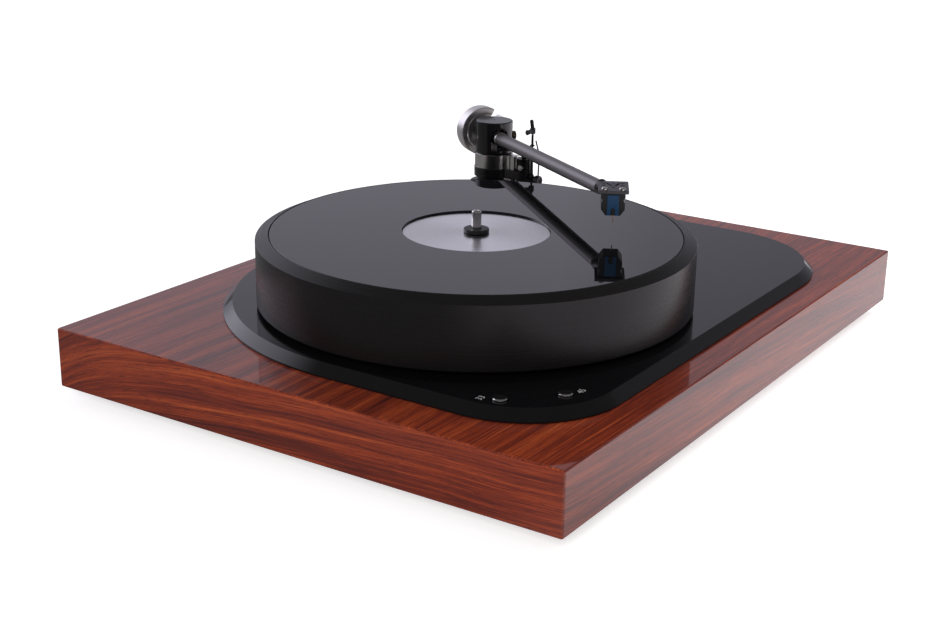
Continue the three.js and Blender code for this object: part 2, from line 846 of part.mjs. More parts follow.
function armBase() {
  const flange = plateTop + seat;
  const bore = pillarRadius + running;
  const coneTop = collarTop - towerCollarThickness;
  const tower = turned([
    [bore, plateTop - stemLength], [stemRadius, plateTop - stemLength], [stemRadius, flange],
    [baseFlangeRadius, flange], [baseFlangeRadius, flange + baseFlangeThickness],
    [towerRadius, flange + baseFlangeThickness], [towerRadius, coneTop - towerCollarCone],
    [towerCollarRadius, coneTop], [towerRadius, collarTop], [bore, collarTop],
  ], medium);
  const height = collarTop - clampScrewDrop;
  const screwHole = bar([bore - overrun, 0, height], [towerRadius + overrun, 0, height], clampScrewRadius + seat);
  const nut = ring(stemRadius + seat, baseNutRadius, plinthTop - baseNutThickness, plinthTop, medium);
  const screw = join(
    bar([bore + seat, 0, height], [towerRadius + overrun, 0, height], clampScrewRadius),
    bar([towerRadius + seat, 0, height], [towerRadius + seat + clampKnobLength, 0, height], clampKnobRadius),
  );
  return [
    piece("arm_base", cut(tower, screwHole), look(0x101011, 0.3, 0.7)),
    piece("arm_base_nut", nut, look(0x8e9093, 0.3, 1)),
    piece("height_clamp_screw", screw, look(0x141415, 0.3, 0.8)),
  ];
}

function armPillar() {
  const shaftBore = yawShaftRadius + running;
  const body = turned([
    [0, collarTop - pillarTail], [pillarRadius, collarTop - pillarTail], [pillarRadius, ringTop],
    [shaftBore, ringTop], [shaftBore, bodyBottom - yawShaftTail - seat], [0, bodyBottom - yawShaftTail - seat],
  ], medium);
  return piece("arm_pillar", body, look(0x2a2a2c, 0.3, 0.9));
}

// The bracket frame looks along the rest post: -Y runs out from the pillar

function sideBracket() {
  const bore = pillarRadius + seat;
  const lowRadius = ringRadius - ringStep;
  const stepTop = ringBottom + ringStepHeight;
  const clampRing = turned([
    [bore, ringBottom], [lowRadius, ringBottom], [lowRadius, stepTop], [ringRadius, stepTop + ringStep / 2],
    [ringRadius, ringTop], [bore, ringTop],
  ], medium);
  const arm = cut(
    block(-bracketWidth / 2, bracketWidth / 2, -bracketLength, -bore - overrun, ringBottom, ringTop),
    cylinder(bore + overrun / 2, ringBottom - overrun, ringTop + overrun, medium),
  );
  const lift = at(cylinder(liftRadius, ringBottom, liftTop), 0, -liftPlace);
  const leverHole = bar([0, -bracketLength + overrun, ringBottom + leverHeight],
    [0, -bracketLength - leverPinLength, ringBottom + leverHeight], leverPinRadius);
  const bodyRoom = cylinder(ringRadius + seat, ringTop + seat / 2, liftTop + overrun, medium);
  const rodBore = at(cylinder(liftRodRadius + running, liftTop - liftBore, liftTop + overrun), 0, -liftPlace);
  const postHole = at(cylinder(restPostRadius + seat, ringTop - restPostSeat, liftTop + overrun), 0, -restPlace);
  const screwHole = at(bar([0, 0, bracketScrewHeight()], [-liftRadius - overrun, 0, bracketScrewHeight()],
    bracketScrewRadius + seat), 0, -liftPlace);
  const body = cut(join(clampRing, arm, lift, leverHole), bodyRoom, rodBore, postHole, screwHole);
  return piece("side_bracket", body, look(0x0e0e0f, 0.3, 0.6));
}

function bracketScrewHeight() {
  return ringTop + bracketScrewRise;
}

function bracketScrew() {
  const tip = -liftRodRadius - running - seat;
  const height = bracketScrewHeight();
  const body = bar([tip, 0, height], [-liftRadius - bracketScrewHead, 0, height], bracketScrewRadius);
  return piece("bracket_screw", at(body, 0, -liftPlace), look(0xb9bbbe, 0.15, 1));
}

// Height of the underside or top of the tube at a distance from the pivot, cue up
function tubeHeight(distance, side) {
  return pitchZ + distance * riseSlope + side * tubeRootRadius;
}

function liftBar() {
  const inner = liftPlace - liftBarWidth / 2;
  const outer = liftPlace + liftBarWidth / 2;
  const top = tubeHeight(inner, -1) - seat;
  const start = liftBarFrom - rightAngle;
  const end = liftBarTo - rightAngle;
  const outline = [...arc(0, 0, outer, start, end, coarse), ...arc(0, 0, inner, end, start, coarse)];
  const rail = prism(outline, top - liftBarThickness, top);
  const rodBottom = liftTop - liftBore + liftTravel + running;
  const rod = at(cylinder(liftRodRadius, rodBottom, top - liftBarThickness / 2), 0, -liftPlace);
  return piece("lift_bar", join(rail, rod), look(0x121213, 0.35, 0.6));
}

function hookHeight() {
  return tubeHeight(restPlace, 1) + hookClearance;
}

function restPost() {
  const bottom = ringTop - restPostSeat + seat;
  const shoulder = hookHeight() - seat;
  const body = turned([
    [0, bottom], [restPostRadius, bottom], [restPostRadius, shoulder], [restSpigotRadius, shoulder],
    [restSpigotRadius, shoulder + restSpigotHeight], [0, shoulder + restSpigotHeight],
  ], coarse);
  return piece("rest_post", at(body, 0, -restPlace), look(0x1a1a1b, 0.3, 0.8));
}

// Hub on the post with a hook that swings over the parked tube, and a leaning finger knob
function restHook() {
  const bottom = hookHeight();
  const top = bottom + hookHubHeight;
  const hub = cylinder(hookHubRadius, bottom, top);
  const finger = block(-hookReach, 0, -hookWidth / 2, hookWidth / 2, bottom + hookDroop, bottom + hookDroop + hookThickness);
  const tip = at(cylinder(hookWidth / 2, bottom, bottom + hookDroop + hookThickness), -hookReach, 0);
  const lean = hookKnobLean * degree;
  const root = [0, 0, top - hookKnobRadius];
  const end = [-Math.sin(lean) * hookKnobLength, 0, root[2] + hookKnobRadius + Math.cos(lean) * hookKnobLength];
  const knob = bar(root, end, hookKnobRadius);
  const spigotHole = cylinder(restSpigotRadius + running, bottom - overrun, bottom + restSpigotHeight);
  const body = cut(join(hub, finger, tip, knob), spigotHole);
  return piece("rest_hook", at(body, 0, -restPlace), look(0x121213, 0.35, 0.3));
}

function cueLever() {
  const height = ringBottom + leverHeight;
  const back = -bracketLength - seat;
  const front = back - leverHubThickness;
  const y = back - leverHubThickness / 2;
  const hub = bar([0, back, height], [0, front, height], leverHubRadius);
  const knee = [0, y - leverOut, height + leverRise];
  const tip = [0, knee[1] + leverTipBack, knee[2] + leverTip];
  const rod = join(bar([0, y, height], knee, leverRodRadius, 8), ball(knee, leverRodRadius, 8),
    bar(knee, tip, leverRodRadius, 8));
  const bore = bar([0, back + overrun, height], [0, front - overrun, height], leverPinRadius + running);
  return piece("cue_lever", cut(join(hub, rod), bore), look(0x6d6d6f, 0.25, 1));
}

function bearingBody() {
  const barrel = cylinder(bodyRadius, bodyBottom, bodyTop, fine);
  const lug = block(-bodyLugWidth / 2, bodyLugWidth / 2, -bodyLugLength, 0, bodyBottom, bodyTop);
  const slit = block(-bodyLugWidth, 0, -bodyLugSlitPlace - bodyLugSlit, -bodyLugSlitPlace,
    bodyBottom - overrun, bodyTop + overrun);
  const bore = cylinder(yawShaftRadius + running, bodyBottom - overrun, bodyTop + overrun);
  const body = cut(join(barrel, lug), slit, bore);
  return piece("bearing_body", body, look(0xb8b6b4, 0.14, 1));
}

// Turning head of the arm, in a frame whose -Y runs along the tube

function yawShaft() {
  const body = cylinder(yawShaftRadius, bodyBottom - yawShaftTail, housingBase - seat / 3);
  return piece("yaw_shaft", body, look(0xb4b4b2, 0.2, 1));
}

function archOutline(width, floor, crown) {
  const half = width / 2;
  return [[-half, floor], [half, floor], ...arc(0, crown - half, half, 0, 180, cornerFaces)];
}

// Prism over an outline drawn in the XZ plane, running along Y
function upright(outline, from, to) {
  return prism(outline, -to, -from).rotate([90, 0, 0]);
}

function yawHousing() {
  const shell = turned([
    [0, housingBase], [housingRadius - housingEdge, housingBase], [housingRadius, housingBase + housingEdge],
    [housingRadius, housingTop - housingEdge], [housingRadius - housingEdge, housingTop],
    [housingScrewRadius, housingTop], [housingScrewRadius, housingTop - housingScrewDepth],
    [0, housingTop - housingScrewDepth],
  ], fine);
  const arch = archOutline(tunnelWidth, housingBase + tunnelFloor, housingTop - tunnelCrown);
  const reach = housingRadius + overrun;
  const pinHole = bar([-reach, 0, pitchZ], [reach, 0, pitchZ], pivotPinRadius + seat);
  const body = cut(shell, upright(arch, -reach, reach), pinHole);
  return piece("yaw_housing", body, look(0x17171a, 0.28, 0.5));
}

function pivotPins() {
  const tip = hubBodyRadius - pivotPinDepth + running;
  const face = housingRadius + seat;
  const flush = housingRadius - housingEdge;
  const right = join(
    bar([tip, 0, pitchZ], [face + overrun, 0, pitchZ], pivotPinRadius),
    bar([face, 0, pitchZ], [face + pivotKnobThickness, 0, pitchZ], pivotKnobRadius),
  );
  const left = bar([-tip, 0, pitchZ], [-flush, 0, pitchZ], pivotPinRadius);
  return [
    piece("pivot_screw_right", right, look(0x3b3828, 0.35, 0.9)),
    piece("pivot_screw_left", left, look(0x6d6d6f, 0.25, 1)),
  ];
}

// Pieces of the arm are made along -Y about the pitch axis

function along(body, from) {
  return body.rotate([90, 0, 0]).translate([0, -from, 0]);
}

function armHub() {
  const half = hubBodyLength / 2;
  const barrel = along(cylinder(hubBodyRadius, 0, hubBodyLength, medium), -half);
  const spigotRadius = tubeRootRadius - tubeWall - seat;
  const spigot = along(cylinder(spigotRadius, 0, ferruleLength + spigotLength), half);
  const cups = [-1, 1].map((side) => bar([side * (hubBodyRadius - pivotPinDepth), 0, 0],
    [side * (hubBodyRadius + overrun), 0, 0], pivotPinRadius + running));
  const stub = along(cylinder(stubRadius, 0, stubLength - half), -stubLength);
  return [
    piece("arm_hub", cut(join(barrel, spigot), ...cups), look(0x1c1c1e, 0.3, 0.8)),
    piece("counterweight_stub", stub.translate([0, seat, 0]), look(0x9a9a9c, 0.25, 1)),
  ];
}

function tubeFerrule() {
  const half = hubBodyLength / 2;
  const inner = tubeRootRadius - tubeWall;
  const body = along(ring(inner, ferruleRadius, seat, ferruleLength, medium), half);
  return piece("tube_ferrule", body, look(0xc4c4c4, 0.15, 1));
}

function armTube() {
  const start = hubBodyLength / 2 + ferruleLength + seat;
  const length = tubeEnd - start;
  const body = turned([
    [tubeRootRadius - tubeWall, 0], [tubeRootRadius, 0], [tubeTipRadius, length],
    [tubeTipRadius - tubeWall, length],
  ], medium);
  return piece("arm_tube", along(body, start), look(0x4d4b50, 0.32, 0.4));
}

function counterweight() {
  const bore = stubRadius + running;
  const front = weightThickness;
  const disc = turned([
    [bore, 0], [weightRadius - weightEdge, 0], [weightRadius, weightEdge],
    [weightRadius, front - weightEdge], [weightRadius - weightEdge, front], [weightDishRadius, front],
    [weightDishRadius - weightDish, front - weightDish], [bore, front - weightDish],
  ], fine);
  const slot = block(-weightSlot / 2, weightSlot / 2, -weightRadius - overrun, 0, -overrun, weightThickness + overrun);
  const body = cut(disc, slot.rotate([0, 0, -weightSlotTurn]));
  return piece("counterweight", along(body, -weightPlace - weightThickness), look(0xb8b6b4, 0.16, 1));
}

// Head frame: origin over the stylus tip on the tube axis, -Y towards the front of the head

function headOutline() {
  return [
    [-headBackWidth / 2, -headBack], [-headFrontWidth / 2, -headFront],
    [headFrontWidth / 2, -headFront], [headBackWidth / 2, -headBack],
  ];
}

function headshell() {
  const low = headTop - headThickness;
  const plate = prism(headOutline(), low, headTop);
  const slots = [-1, 1].map((side) => block(
    (side * screwSpacing - headSlotWidth) / 2, (side * screwSpacing + headSlotWidth) / 2,
    -headSlotPlace - headSlotLength / 2, -headSlotPlace + headSlotLength / 2, low - overrun, headTop + overrun,
  ));
  const screwHoles = [-1, 1].map((side) => at(
    cylinder(cartridgeScrewRadius + seat, low - overrun, headTop + overrun),
    (side * screwSpacing) / 2, -cartridgeScrewPlace,
  ));
  const tubeTurn = -headTurn;
  const gap = armLength - tubeEnd;
  const neck = join(
    cylinder(headNeckRadius, 0, headNeckReach),
    cylinder(tubeTipRadius - tubeWall - seat, -spigotLength, overrun),
  );
  const placed = neck.rotate([90, 0, 0]).translate([0, gap - seat, 0]).rotate([0, 0, tubeTurn]);
  return piece("headshell", join(cut(plate, ...slots, ...screwHoles), placed), look(0x55535a, 0.35, 0.5));
}

function cartridge() {
  const top = headTop - headThickness - seat;
  const bottom = top - cartridgeHeight;
  const half = cartridgeWidth / 2;
  const section = [
    [-half, bottom + cartridgeChamfer], [-half + cartridgeChamfer, bottom],
    [half - cartridgeChamfer, bottom], [half, bottom + cartridgeChamfer], [half, top], [-half, top],
  ];
  const shell = upright(section, -cartridgeFront, -cartridgeBack);
  const arch = archOutline(archWidth, bottom - overrun, bottom + archHeight);
  const channel = upright(arch, -cartridgeFront - overrun, -cartridgeFront + archDepth + faceThickness);
  const taps = [-1, 1].map((side) => at(
    cylinder(cartridgeScrewRadius + seat, top - cartridgeTap - seat, top + overrun),
    (side * screwSpacing) / 2, -cartridgeScrewPlace,
  ));
  const body = cut(shell, channel, ...taps);
  const faceHalf = faceWidth / 2;
  const front = -cartridgeFront - seat;
  const faceOutline = [[-faceHalf, bottom], [faceHalf, bottom], [faceHalf, top], [-faceHalf, top]];
  const face = cut(upright(faceOutline, front - faceThickness, front),
    upright(arch, front - faceThickness - overrun, front + overrun));
  const screws = [-1, 1].map((side) => {
    const screw = turned([
      [0, top - cartridgeTap], [cartridgeScrewRadius, top - cartridgeTap], [cartridgeScrewRadius, headTop + seat],
      [cartridgeScrewHead, headTop + seat], [cartridgeScrewHead, headTop + seat + cartridgeScrewCap],
      [0, headTop + seat + cartridgeScrewCap],
    ], 16);
    const name = side < 0 ? "cartridge_screw_left" : "cartridge_screw_right";
    return piece(name, at(screw, (side * screwSpacing) / 2, -cartridgeScrewPlace), look(0xc4c4c4, 0.2, 1));
  });
  return [
    piece("cartridge_body", body, look(0x18181a, 0.45, 0)),
    piece("cartridge_face", face, look(0x174a78, 0.35, 0.2)),
    ...screws,
  ];
}

function stylus() {
  const bottom = headTop - headThickness - seat - cartridgeHeight;
  const root = [0, -cartridgeFront + archDepth + faceThickness - seat - cantileverRadius, bottom + cantileverRise];
  const elbow = [0, 0, -tipDrop + cantileverRadius];
  const body = join(bar(root, elbow, cantileverRadius, 8), ball(elbow, cantileverRadius, 8));
  return piece("stylus", body, look(0xb89a4a, 0.3, 0.9));
}

// Assembly

function tonearm() {
  const root = station(pivotX, pivotY);
  root.add(...armBase(), armPillar());

  const bracket = station(0, 0, bracketTurn);
  bracket.add(sideBracket(), bracketScrew(), liftBar(), restPost(), restHook(), cueLever(), bearingBody());
  root.add(bracket);

  const yaw = station(0, 0, armTurn);
  yaw.add(yawShaft(), yawHousing(), ...pivotPins());
  root.add(yaw);

  const arm = new THREE.Group();
  arm.position.set(0, 0, pitchZ);
  arm.rotation.x = -armRise * degree;
  arm.add(...armHub(), tubeFerrule(), armTube(), counterweight());
  yaw.add(arm);

  const head = station(0, -armLength, headTurn);
  head.add(headshell(), ...cartridge(), stylus());
  arm.add(head);
  return root;
}

const turntable = new THREE.Group();
turntable.name = "turntable";
turntable.add(plinth(), bottomCover(), ...feet());
turntable.add(topPlate(), ...buttons(), ...switches());
turntable.add(...bearing(), shaft(), ...stator());
turntable.add(platter(), rotorRing(), mat(), labelDisc(), spindleWasher());
turntable.add(controlBoard(), ...terminals());
turntable.add(tonearm());

export default turntable;
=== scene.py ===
# Turntable record player on a glossy wood plinth, in a plain white studio.
# Metres and degrees, except where a heading says millimetres; +Z is up, +Y is the rear of the object.

import json
import math

import bmesh
import bpy
from mathutils import Matrix, Vector


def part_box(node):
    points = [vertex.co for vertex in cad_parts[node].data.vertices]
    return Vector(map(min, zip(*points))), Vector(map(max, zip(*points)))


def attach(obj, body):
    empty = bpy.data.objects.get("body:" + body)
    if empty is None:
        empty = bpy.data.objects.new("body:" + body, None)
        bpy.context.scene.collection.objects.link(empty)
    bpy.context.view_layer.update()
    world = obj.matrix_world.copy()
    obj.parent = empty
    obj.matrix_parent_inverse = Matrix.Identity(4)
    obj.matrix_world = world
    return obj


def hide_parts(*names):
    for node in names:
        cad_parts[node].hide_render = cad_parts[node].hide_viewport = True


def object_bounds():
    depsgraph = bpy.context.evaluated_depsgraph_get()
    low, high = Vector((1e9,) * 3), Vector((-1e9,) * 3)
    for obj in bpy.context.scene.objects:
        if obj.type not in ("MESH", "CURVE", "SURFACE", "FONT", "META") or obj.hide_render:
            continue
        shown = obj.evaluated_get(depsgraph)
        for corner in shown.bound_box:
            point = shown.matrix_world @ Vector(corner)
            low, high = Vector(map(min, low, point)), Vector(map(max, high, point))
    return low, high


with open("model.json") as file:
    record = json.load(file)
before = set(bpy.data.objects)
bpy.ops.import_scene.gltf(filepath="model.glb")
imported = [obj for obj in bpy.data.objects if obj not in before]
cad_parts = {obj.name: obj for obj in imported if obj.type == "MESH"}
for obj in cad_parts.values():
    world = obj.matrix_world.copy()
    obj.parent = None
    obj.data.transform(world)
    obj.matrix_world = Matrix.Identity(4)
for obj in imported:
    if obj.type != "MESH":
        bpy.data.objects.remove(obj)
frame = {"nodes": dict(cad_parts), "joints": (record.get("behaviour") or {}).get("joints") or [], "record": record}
cad_low, cad_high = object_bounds()

MM = 0.001
ROUND = 256                    # faces round the large turned pieces
FINE = 96                      # faces round the turned pieces of the tonearm
SMALL = 48                     # faces round screws and posts
UP = Vector((0, 0, 1))

# Photograph's view
CAMERA_PLACE = Vector((-0.9791, -0.6071, 0.4279))
CAMERA_AZIMUTH = -146.880      # from the object toward the camera, from +X
CAMERA_ELEVATION = 19.132
CAMERA_ROLL = 0.911
LENS = 59.01                   # millimetres, as is the sensor
SENSOR = 36.0
CLIP_START, CLIP_END = 0.05, 60

# Places taken from the frame
joints = {joint["name"]: joint for joint in frame["joints"]}
spindle = Vector((*joints["platter_spin"]["pos_m"][:2], 0))
pitch_point = Vector(joints["arm_pitch"]["pos_m"])
arm_back = Vector(joints["counterweight_slide"]["axis"]).normalized()
hook_place = Vector(joints["rest_hook_turn"]["pos_m"])


# Shared helpers

def direction(azimuth, elevation):
    """Unit vector; azimuth in degrees from +X, elevation in degrees above the floor."""
    a, e = math.radians(azimuth), math.radians(elevation)
    return Vector((math.cos(a) * math.cos(e), math.sin(a) * math.cos(e), math.sin(e)))


def turn(angle, axis):
    return Matrix.Rotation(math.radians(angle), 4, axis)


def link(name, data):
    """New object in the scene."""
    obj = bpy.data.objects.new(name, data)
    bpy.context.scene.collection.objects.link(obj)
    return obj


# Node trees

class Graph:
    """Builds nodes in a tree."""

    def __init__(self, tree):
        self.tree = tree

    def put(self, socket, value):
        if isinstance(value, bpy.types.NodeSocket):
            self.tree.links.new(value, socket)
        elif isinstance(value, tuple) and len(value) == 3 and len(socket.default_value) == 4:
            socket.default_value = (*value, 1)
        else:
            socket.default_value = value

    def node(self, kind, sockets=(), output=0, **settings):
        made = self.tree.nodes.new("ShaderNode" + kind)
        for key, value in settings.items():
            setattr(made, key, value)
        for key, value in dict(sockets).items():
            self.put(made.inputs[key], value)
        return made.outputs[output]

    def math(self, operation, a, b=0.0, c=0.0):
        return self.node("Math", {0: a, 1: b, 2: c}, operation=operation)

    def add(self, a, b):
        return self.math("ADD", a, b)

    def minus(self, a, b):
        return self.math("SUBTRACT", a, b)

    def times(self, a, b):
        return self.math("MULTIPLY", a, b)

    def size(self, a):
        return self.math("ABSOLUTE", a)

    def level_distance(self, x, y):
        """Distance from the upright axis through the origin."""
        return self.math("SQRT", self.add(self.times(x, x), self.times(y, y)))

    def mix(self, share, a, b):
        """Number between a and b."""
        return self.node("Mix", {0: share, 2: a, 3: b}, data_type="FLOAT")

    def blend(self, share, a, b):
        """Colour between a and b."""
        return self.node("Mix", {0: share, 6: a, 7: b}, output=2, data_type="RGBA")

    def remap(self, value, low, high, to_low=0.0, to_high=1.0):
        sockets = {"Value": value, "From Min": low, "From Max": high, "To Min": to_low, "To Max": to_high}
        return self.node("MapRange", sockets, interpolation_type="SMOOTHSTEP")

    def place(self):
        """Place on the piece, in the row frame."""
        return self.node("TexCoord", output=3)

    def facing(self):
        """Direction that the surface faces, in the row frame."""
        return self.node("TexCoord", output=1)

    def split(self, vector):
        node = self.tree.nodes.new("ShaderNodeSeparateXYZ")
        self.put(node.inputs[0], vector)
        return node.outputs

    def join(self, x, y, z):
        return self.node("CombineXYZ", {0: x, 1: y, 2: z})

    def stretched(self, scales):
        """Place on the piece with each direction scaled by itself."""
        parts = self.split(self.place())
        return self.join(*(self.times(part, scale) for part, scale in zip(parts, scales)))

    def noise(self, vector, scale=1.0, detail=2.0, roughness=0.5):
        sockets = {"Vector": vector, "Scale": scale, "Detail": detail, "Roughness": roughness}
        return self.node("TexNoise", sockets)

    def ramp(self, value, stops):
        node = self.tree.nodes.new("ShaderNodeValToRGB")
        self.put(node.inputs[0], value)
        elements = node.color_ramp.elements
        while len(elements) < len(stops):
            elements.new(0.5)
        for element, (position, colour) in zip(elements, stops):
            element.position = position
            element.color = (*colour, 1)
        return node.outputs[0]

    def bump(self, height, distance, strength):
        return self.node("Bump", {"Height": height, "Distance": distance, "Strength": strength})


class Surface(Graph):
    """Node tree of a new material, round its surface shader."""

    def __init__(self, name):
        self.material = bpy.data.materials.new(name)
        self.material.use_nodes = True
        super().__init__(self.material.node_tree)
        self.shader = self.tree.nodes["Principled BSDF"]

    def finish(self, **values):
        """Sets the shader's sockets; underscores in a name stand for spaces."""
        for key, value in values.items():
            self.put(self.shader.inputs[key.replace("_", " ")], value)
        return self.material


# Wood

WOOD_DARK = (0.058, 0.0125, 0.0115)
WOOD_BROWN = (0.150, 0.0225, 0.0115)
WOOD_RED = (0.285, 0.043, 0.0145)
WOOD_ORANGE = (0.46, 0.092, 0.025)
TONES = ((0.35, WOOD_DARK), (0.44, WOOD_BROWN), (0.53, WOOD_RED), (0.66, WOOD_ORANGE))
FACING = 0.6                   # share of the normal from which a face counts as a top or a side
ARC_RISE = 0.034               # how far the lines on the side faces climb from the rear end
ARC_LENGTH = 0.055
SIDE_SLOPE = 0.03              # lean of the lines on the side faces, past the arc
STREAK_SLOPE = 0.05            # lean of the lines on the front and rear faces
TOP_SLOPE = 0.012
TOP_SEED, SIDE_SEED = 3.7, 9.1
WANDER_ALONG, WANDER_ACROSS = 5, 14
WANDER_DEPTH = 0.012
# Streaks: scale along the grain, scale across it, seed, detail, roughness
BANDS = (3.0, 120, 1.3, 3, 0.55)
LINES = (9.0, 520, 4.1, 2, 0.55)
HAIRS = (24.0, 1500, 7.7, 2, 0.65)
PORES = (190.0, 2600, 11.9, 1, 0.55)
BAND_SHARE, LINE_SHARE, HAIR_SHARE = 0.48, 0.28, 0.24
# Dark veins: width and strength
LINE_VEIN, HAIR_VEIN, BAND_VEIN = (0.020, 0.80), (0.035, 0.45), (0.008, 0.55)
PORE_LIMITS, PORE_STRENGTH = (0.60, 0.68), 0.4


def wood():
    graph = Surface("rosewood")
    x, y, z = graph.split(graph.place())
    facing = graph.split(graph.facing())
    is_top = graph.math("GREATER_THAN", graph.size(facing[2]), FACING)
    is_side = graph.math("GREATER_THAN", graph.size(facing[0]), FACING)

    # Lines of the side faces climb steeply near the rear and then run level
    from_rear = graph.minus(cad_high.y, y)
    fall = graph.math("EXPONENT", graph.times(from_rear, -1 / ARC_LENGTH))
    side_across = graph.add(z, graph.times(fall, ARC_RISE))
    side_across = graph.minus(side_across, graph.times(from_rear, SIDE_SLOPE))
    front_across = graph.add(z, graph.times(x, STREAK_SLOPE))
    top_across = graph.add(y, graph.times(x, TOP_SLOPE))
    along = graph.mix(is_side, x, y)
    across = graph.mix(is_top, graph.mix(is_side, front_across, side_across), top_across)
    face = graph.add(graph.times(is_top, TOP_SEED), graph.times(is_side, SIDE_SEED))

    # Slow wander of the lines
    drift = graph.join(graph.times(along, WANDER_ALONG), graph.times(across, WANDER_ACROSS), face)
    wander = graph.minus(graph.noise(drift), 0.5)
    across = graph.add(across, graph.times(wander, WANDER_DEPTH))

    def streaks(along_scale, across_scale, seed, detail, roughness):
        vector = graph.join(
            graph.times(along, along_scale), graph.times(across, across_scale), graph.add(face, seed))
        return graph.noise(vector, detail=detail, roughness=roughness)

    bands, lines, hairs, pores = (streaks(*layer) for layer in (BANDS, LINES, HAIRS, PORES))
    fine_tone = graph.add(graph.times(lines, LINE_SHARE), graph.times(hairs, HAIR_SHARE))
    colour = graph.ramp(graph.add(graph.times(bands, BAND_SHARE), fine_tone), TONES)
    for layer, (width, strength) in ((lines, LINE_VEIN), (hairs, HAIR_VEIN), (bands, BAND_VEIN)):
        vein = graph.remap(graph.size(graph.minus(layer, 0.5)), 0.0, width, strength, 0.0)
        colour = graph.blend(vein, colour, WOOD_DARK)
    marks = graph.times(graph.remap(pores, *PORE_LIMITS), PORE_STRENGTH)
    polish = graph.noise(graph.place(), scale=160)
    return graph.finish(
        Base_Color=graph.blend(marks, colour, WOOD_DARK),
        Roughness=0.45,
        Specular_IOR_Level=0.03,
        Coat_Weight=1.0,
        Coat_Roughness=0.035,
        Coat_IOR=1.5,
        Coat_Normal=graph.bump(polish, distance=0.00002, strength=0.25),
    )


# Other materials

GLOSS_DARK, GLOSS_LIGHT = (0.0030, 0.0030, 0.0034), (0.0055, 0.0055, 0.0062)
GLOSS_BRUSH, GLOSS_SMEAR = (30, 2600, 1), (14, 120, 1)    # scales along X, Y and Z
GLOSS_ROUGHNESS = (0.09, 0.13)
GLASS_HAZE, GLASS_RIPPLE = 24, 90                 # scales
GLASS_ROUGHNESS = (0.012, 0.03)
ANODISED_DARK, ANODISED_LIGHT = (0.0042, 0.0036, 0.0038), (0.0075, 0.0064, 0.0068)
ANODISED_LATHE = (3, 3, 5200)                     # scales along X, Y and Z
ANODISED_ROUGHNESS = (0.24, 0.34)
PRINT_DARK, PRINT_LIGHT = (0.42, 0.42, 0.42), (0.62, 0.62, 0.62)
METAL_SHADE, METAL_SPREAD = 0.86, 0.15            # of the colour and of the roughness
METAL_RINGS = 0.6                                 # anisotropy of a turned face
PLASTIC_SHADE, PLASTIC_SPREAD = 0.75, 0.1
PLASTIC_SPECK = 900
# Values of a noise between which it takes effect
BROAD, MIDDLE, NARROW, WORN = (0.2, 0.8), (0.25, 0.75), (0.3, 0.7), (0.3, 0.6)


def black_gloss():
    """Gloss with faint brush lines along X and a slow smear."""
    graph = Surface("black_gloss")
    brushed = graph.noise(graph.stretched(GLOSS_BRUSH), detail=3)
    smear = graph.noise(graph.stretched(GLOSS_SMEAR))
    return graph.finish(
        Base_Color=graph.blend(graph.remap(brushed, *NARROW), GLOSS_DARK, GLOSS_LIGHT),
        Roughness=graph.remap(smear, *BROAD, *GLOSS_ROUGHNESS),
        IOR=1.43,
        Normal=graph.bump(brushed, distance=0.00002, strength=0.12),
    )


def black_glass():
    graph = Surface("black_glass")
    haze = graph.noise(graph.place(), scale=GLASS_HAZE, detail=3)
    ripple = graph.noise(graph.place(), scale=GLASS_RIPPLE, detail=3)
    return graph.finish(
        Base_Color=(0.0035, 0.0035, 0.0042),
        Roughness=graph.remap(haze, *BROAD, *GLASS_ROUGHNESS),
        IOR=1.5,
        Normal=graph.bump(ripple, distance=0.00001, strength=0.1),
    )


def black_anodised():
    """Anodised metal with the level lines of a lathe."""
    graph = Surface("black_anodised")
    lathe_lines = graph.noise(graph.stretched(ANODISED_LATHE))
    return graph.finish(
        Base_Color=graph.blend(lathe_lines, ANODISED_DARK, ANODISED_LIGHT),
        Roughness=graph.remap(lathe_lines, *MIDDLE, *ANODISED_ROUGHNESS),
        IOR=1.36,
        Normal=graph.bump(lathe_lines, distance=0.00002, strength=0.1),
    )


def print_white():
    graph = Surface("print_white")
    wear = graph.noise(graph.place(), scale=1800)
    return graph.finish(
        Base_Color=graph.blend(graph.remap(wear, *WORN), PRINT_DARK, PRINT_LIGHT),
        Roughness=0.5,
    )


def shaded(colour, share):
    return tuple(channel * share for channel in colour)


def metal(name, colour, roughness, grain=(3, 3, 4200), grain_depth=0.3, metallic=1.0, centre=None):
    """Metal with the fine lines that a tool leaves, drawn out along the directions with a low grain,
    or in rings round a centre."""
    graph = Surface(name)
    rings = {}
    if centre is None:
        vector = graph.stretched(grain)
    else:
        x, y, _ = graph.split(graph.place())
        offset = graph.join(graph.add(x, -centre.x), graph.add(y, -centre.y), 0.0)
        radius = graph.node("VectorMath", {0: offset}, output=1, operation="LENGTH")
        vector = graph.join(graph.times(radius, grain[2]), 0.0, 0.0)
        tangent = graph.node("Tangent", direction_type="RADIAL", axis="Z")
        rings = {"Anisotropic": METAL_RINGS, "Tangent": tangent}
    lines = graph.noise(vector, detail=3)
    spread = roughness * METAL_SPREAD
    return graph.finish(
        Base_Color=graph.blend(lines, shaded(colour, METAL_SHADE), colour),
        Metallic=metallic,
        Roughness=graph.remap(lines, *MIDDLE, roughness - spread, roughness + spread),
        Normal=graph.bump(lines, distance=0.00001, strength=grain_depth),
        **rings,
    )


def plastic(name, colour, roughness, depth=0.00003, ior=1.45):
    graph = Surface(name)
    speck = graph.noise(graph.place(), scale=PLASTIC_SPECK, detail=3)
    spread = roughness * PLASTIC_SPREAD
    return graph.finish(
        Base_Color=graph.blend(speck, shaded(colour, PLASTIC_SHADE), colour),
        Roughness=graph.remap(speck, *NARROW, roughness - spread, roughness + spread),
        IOR=ior,
        Normal=graph.bump(speck, distance=depth, strength=0.4),
    )


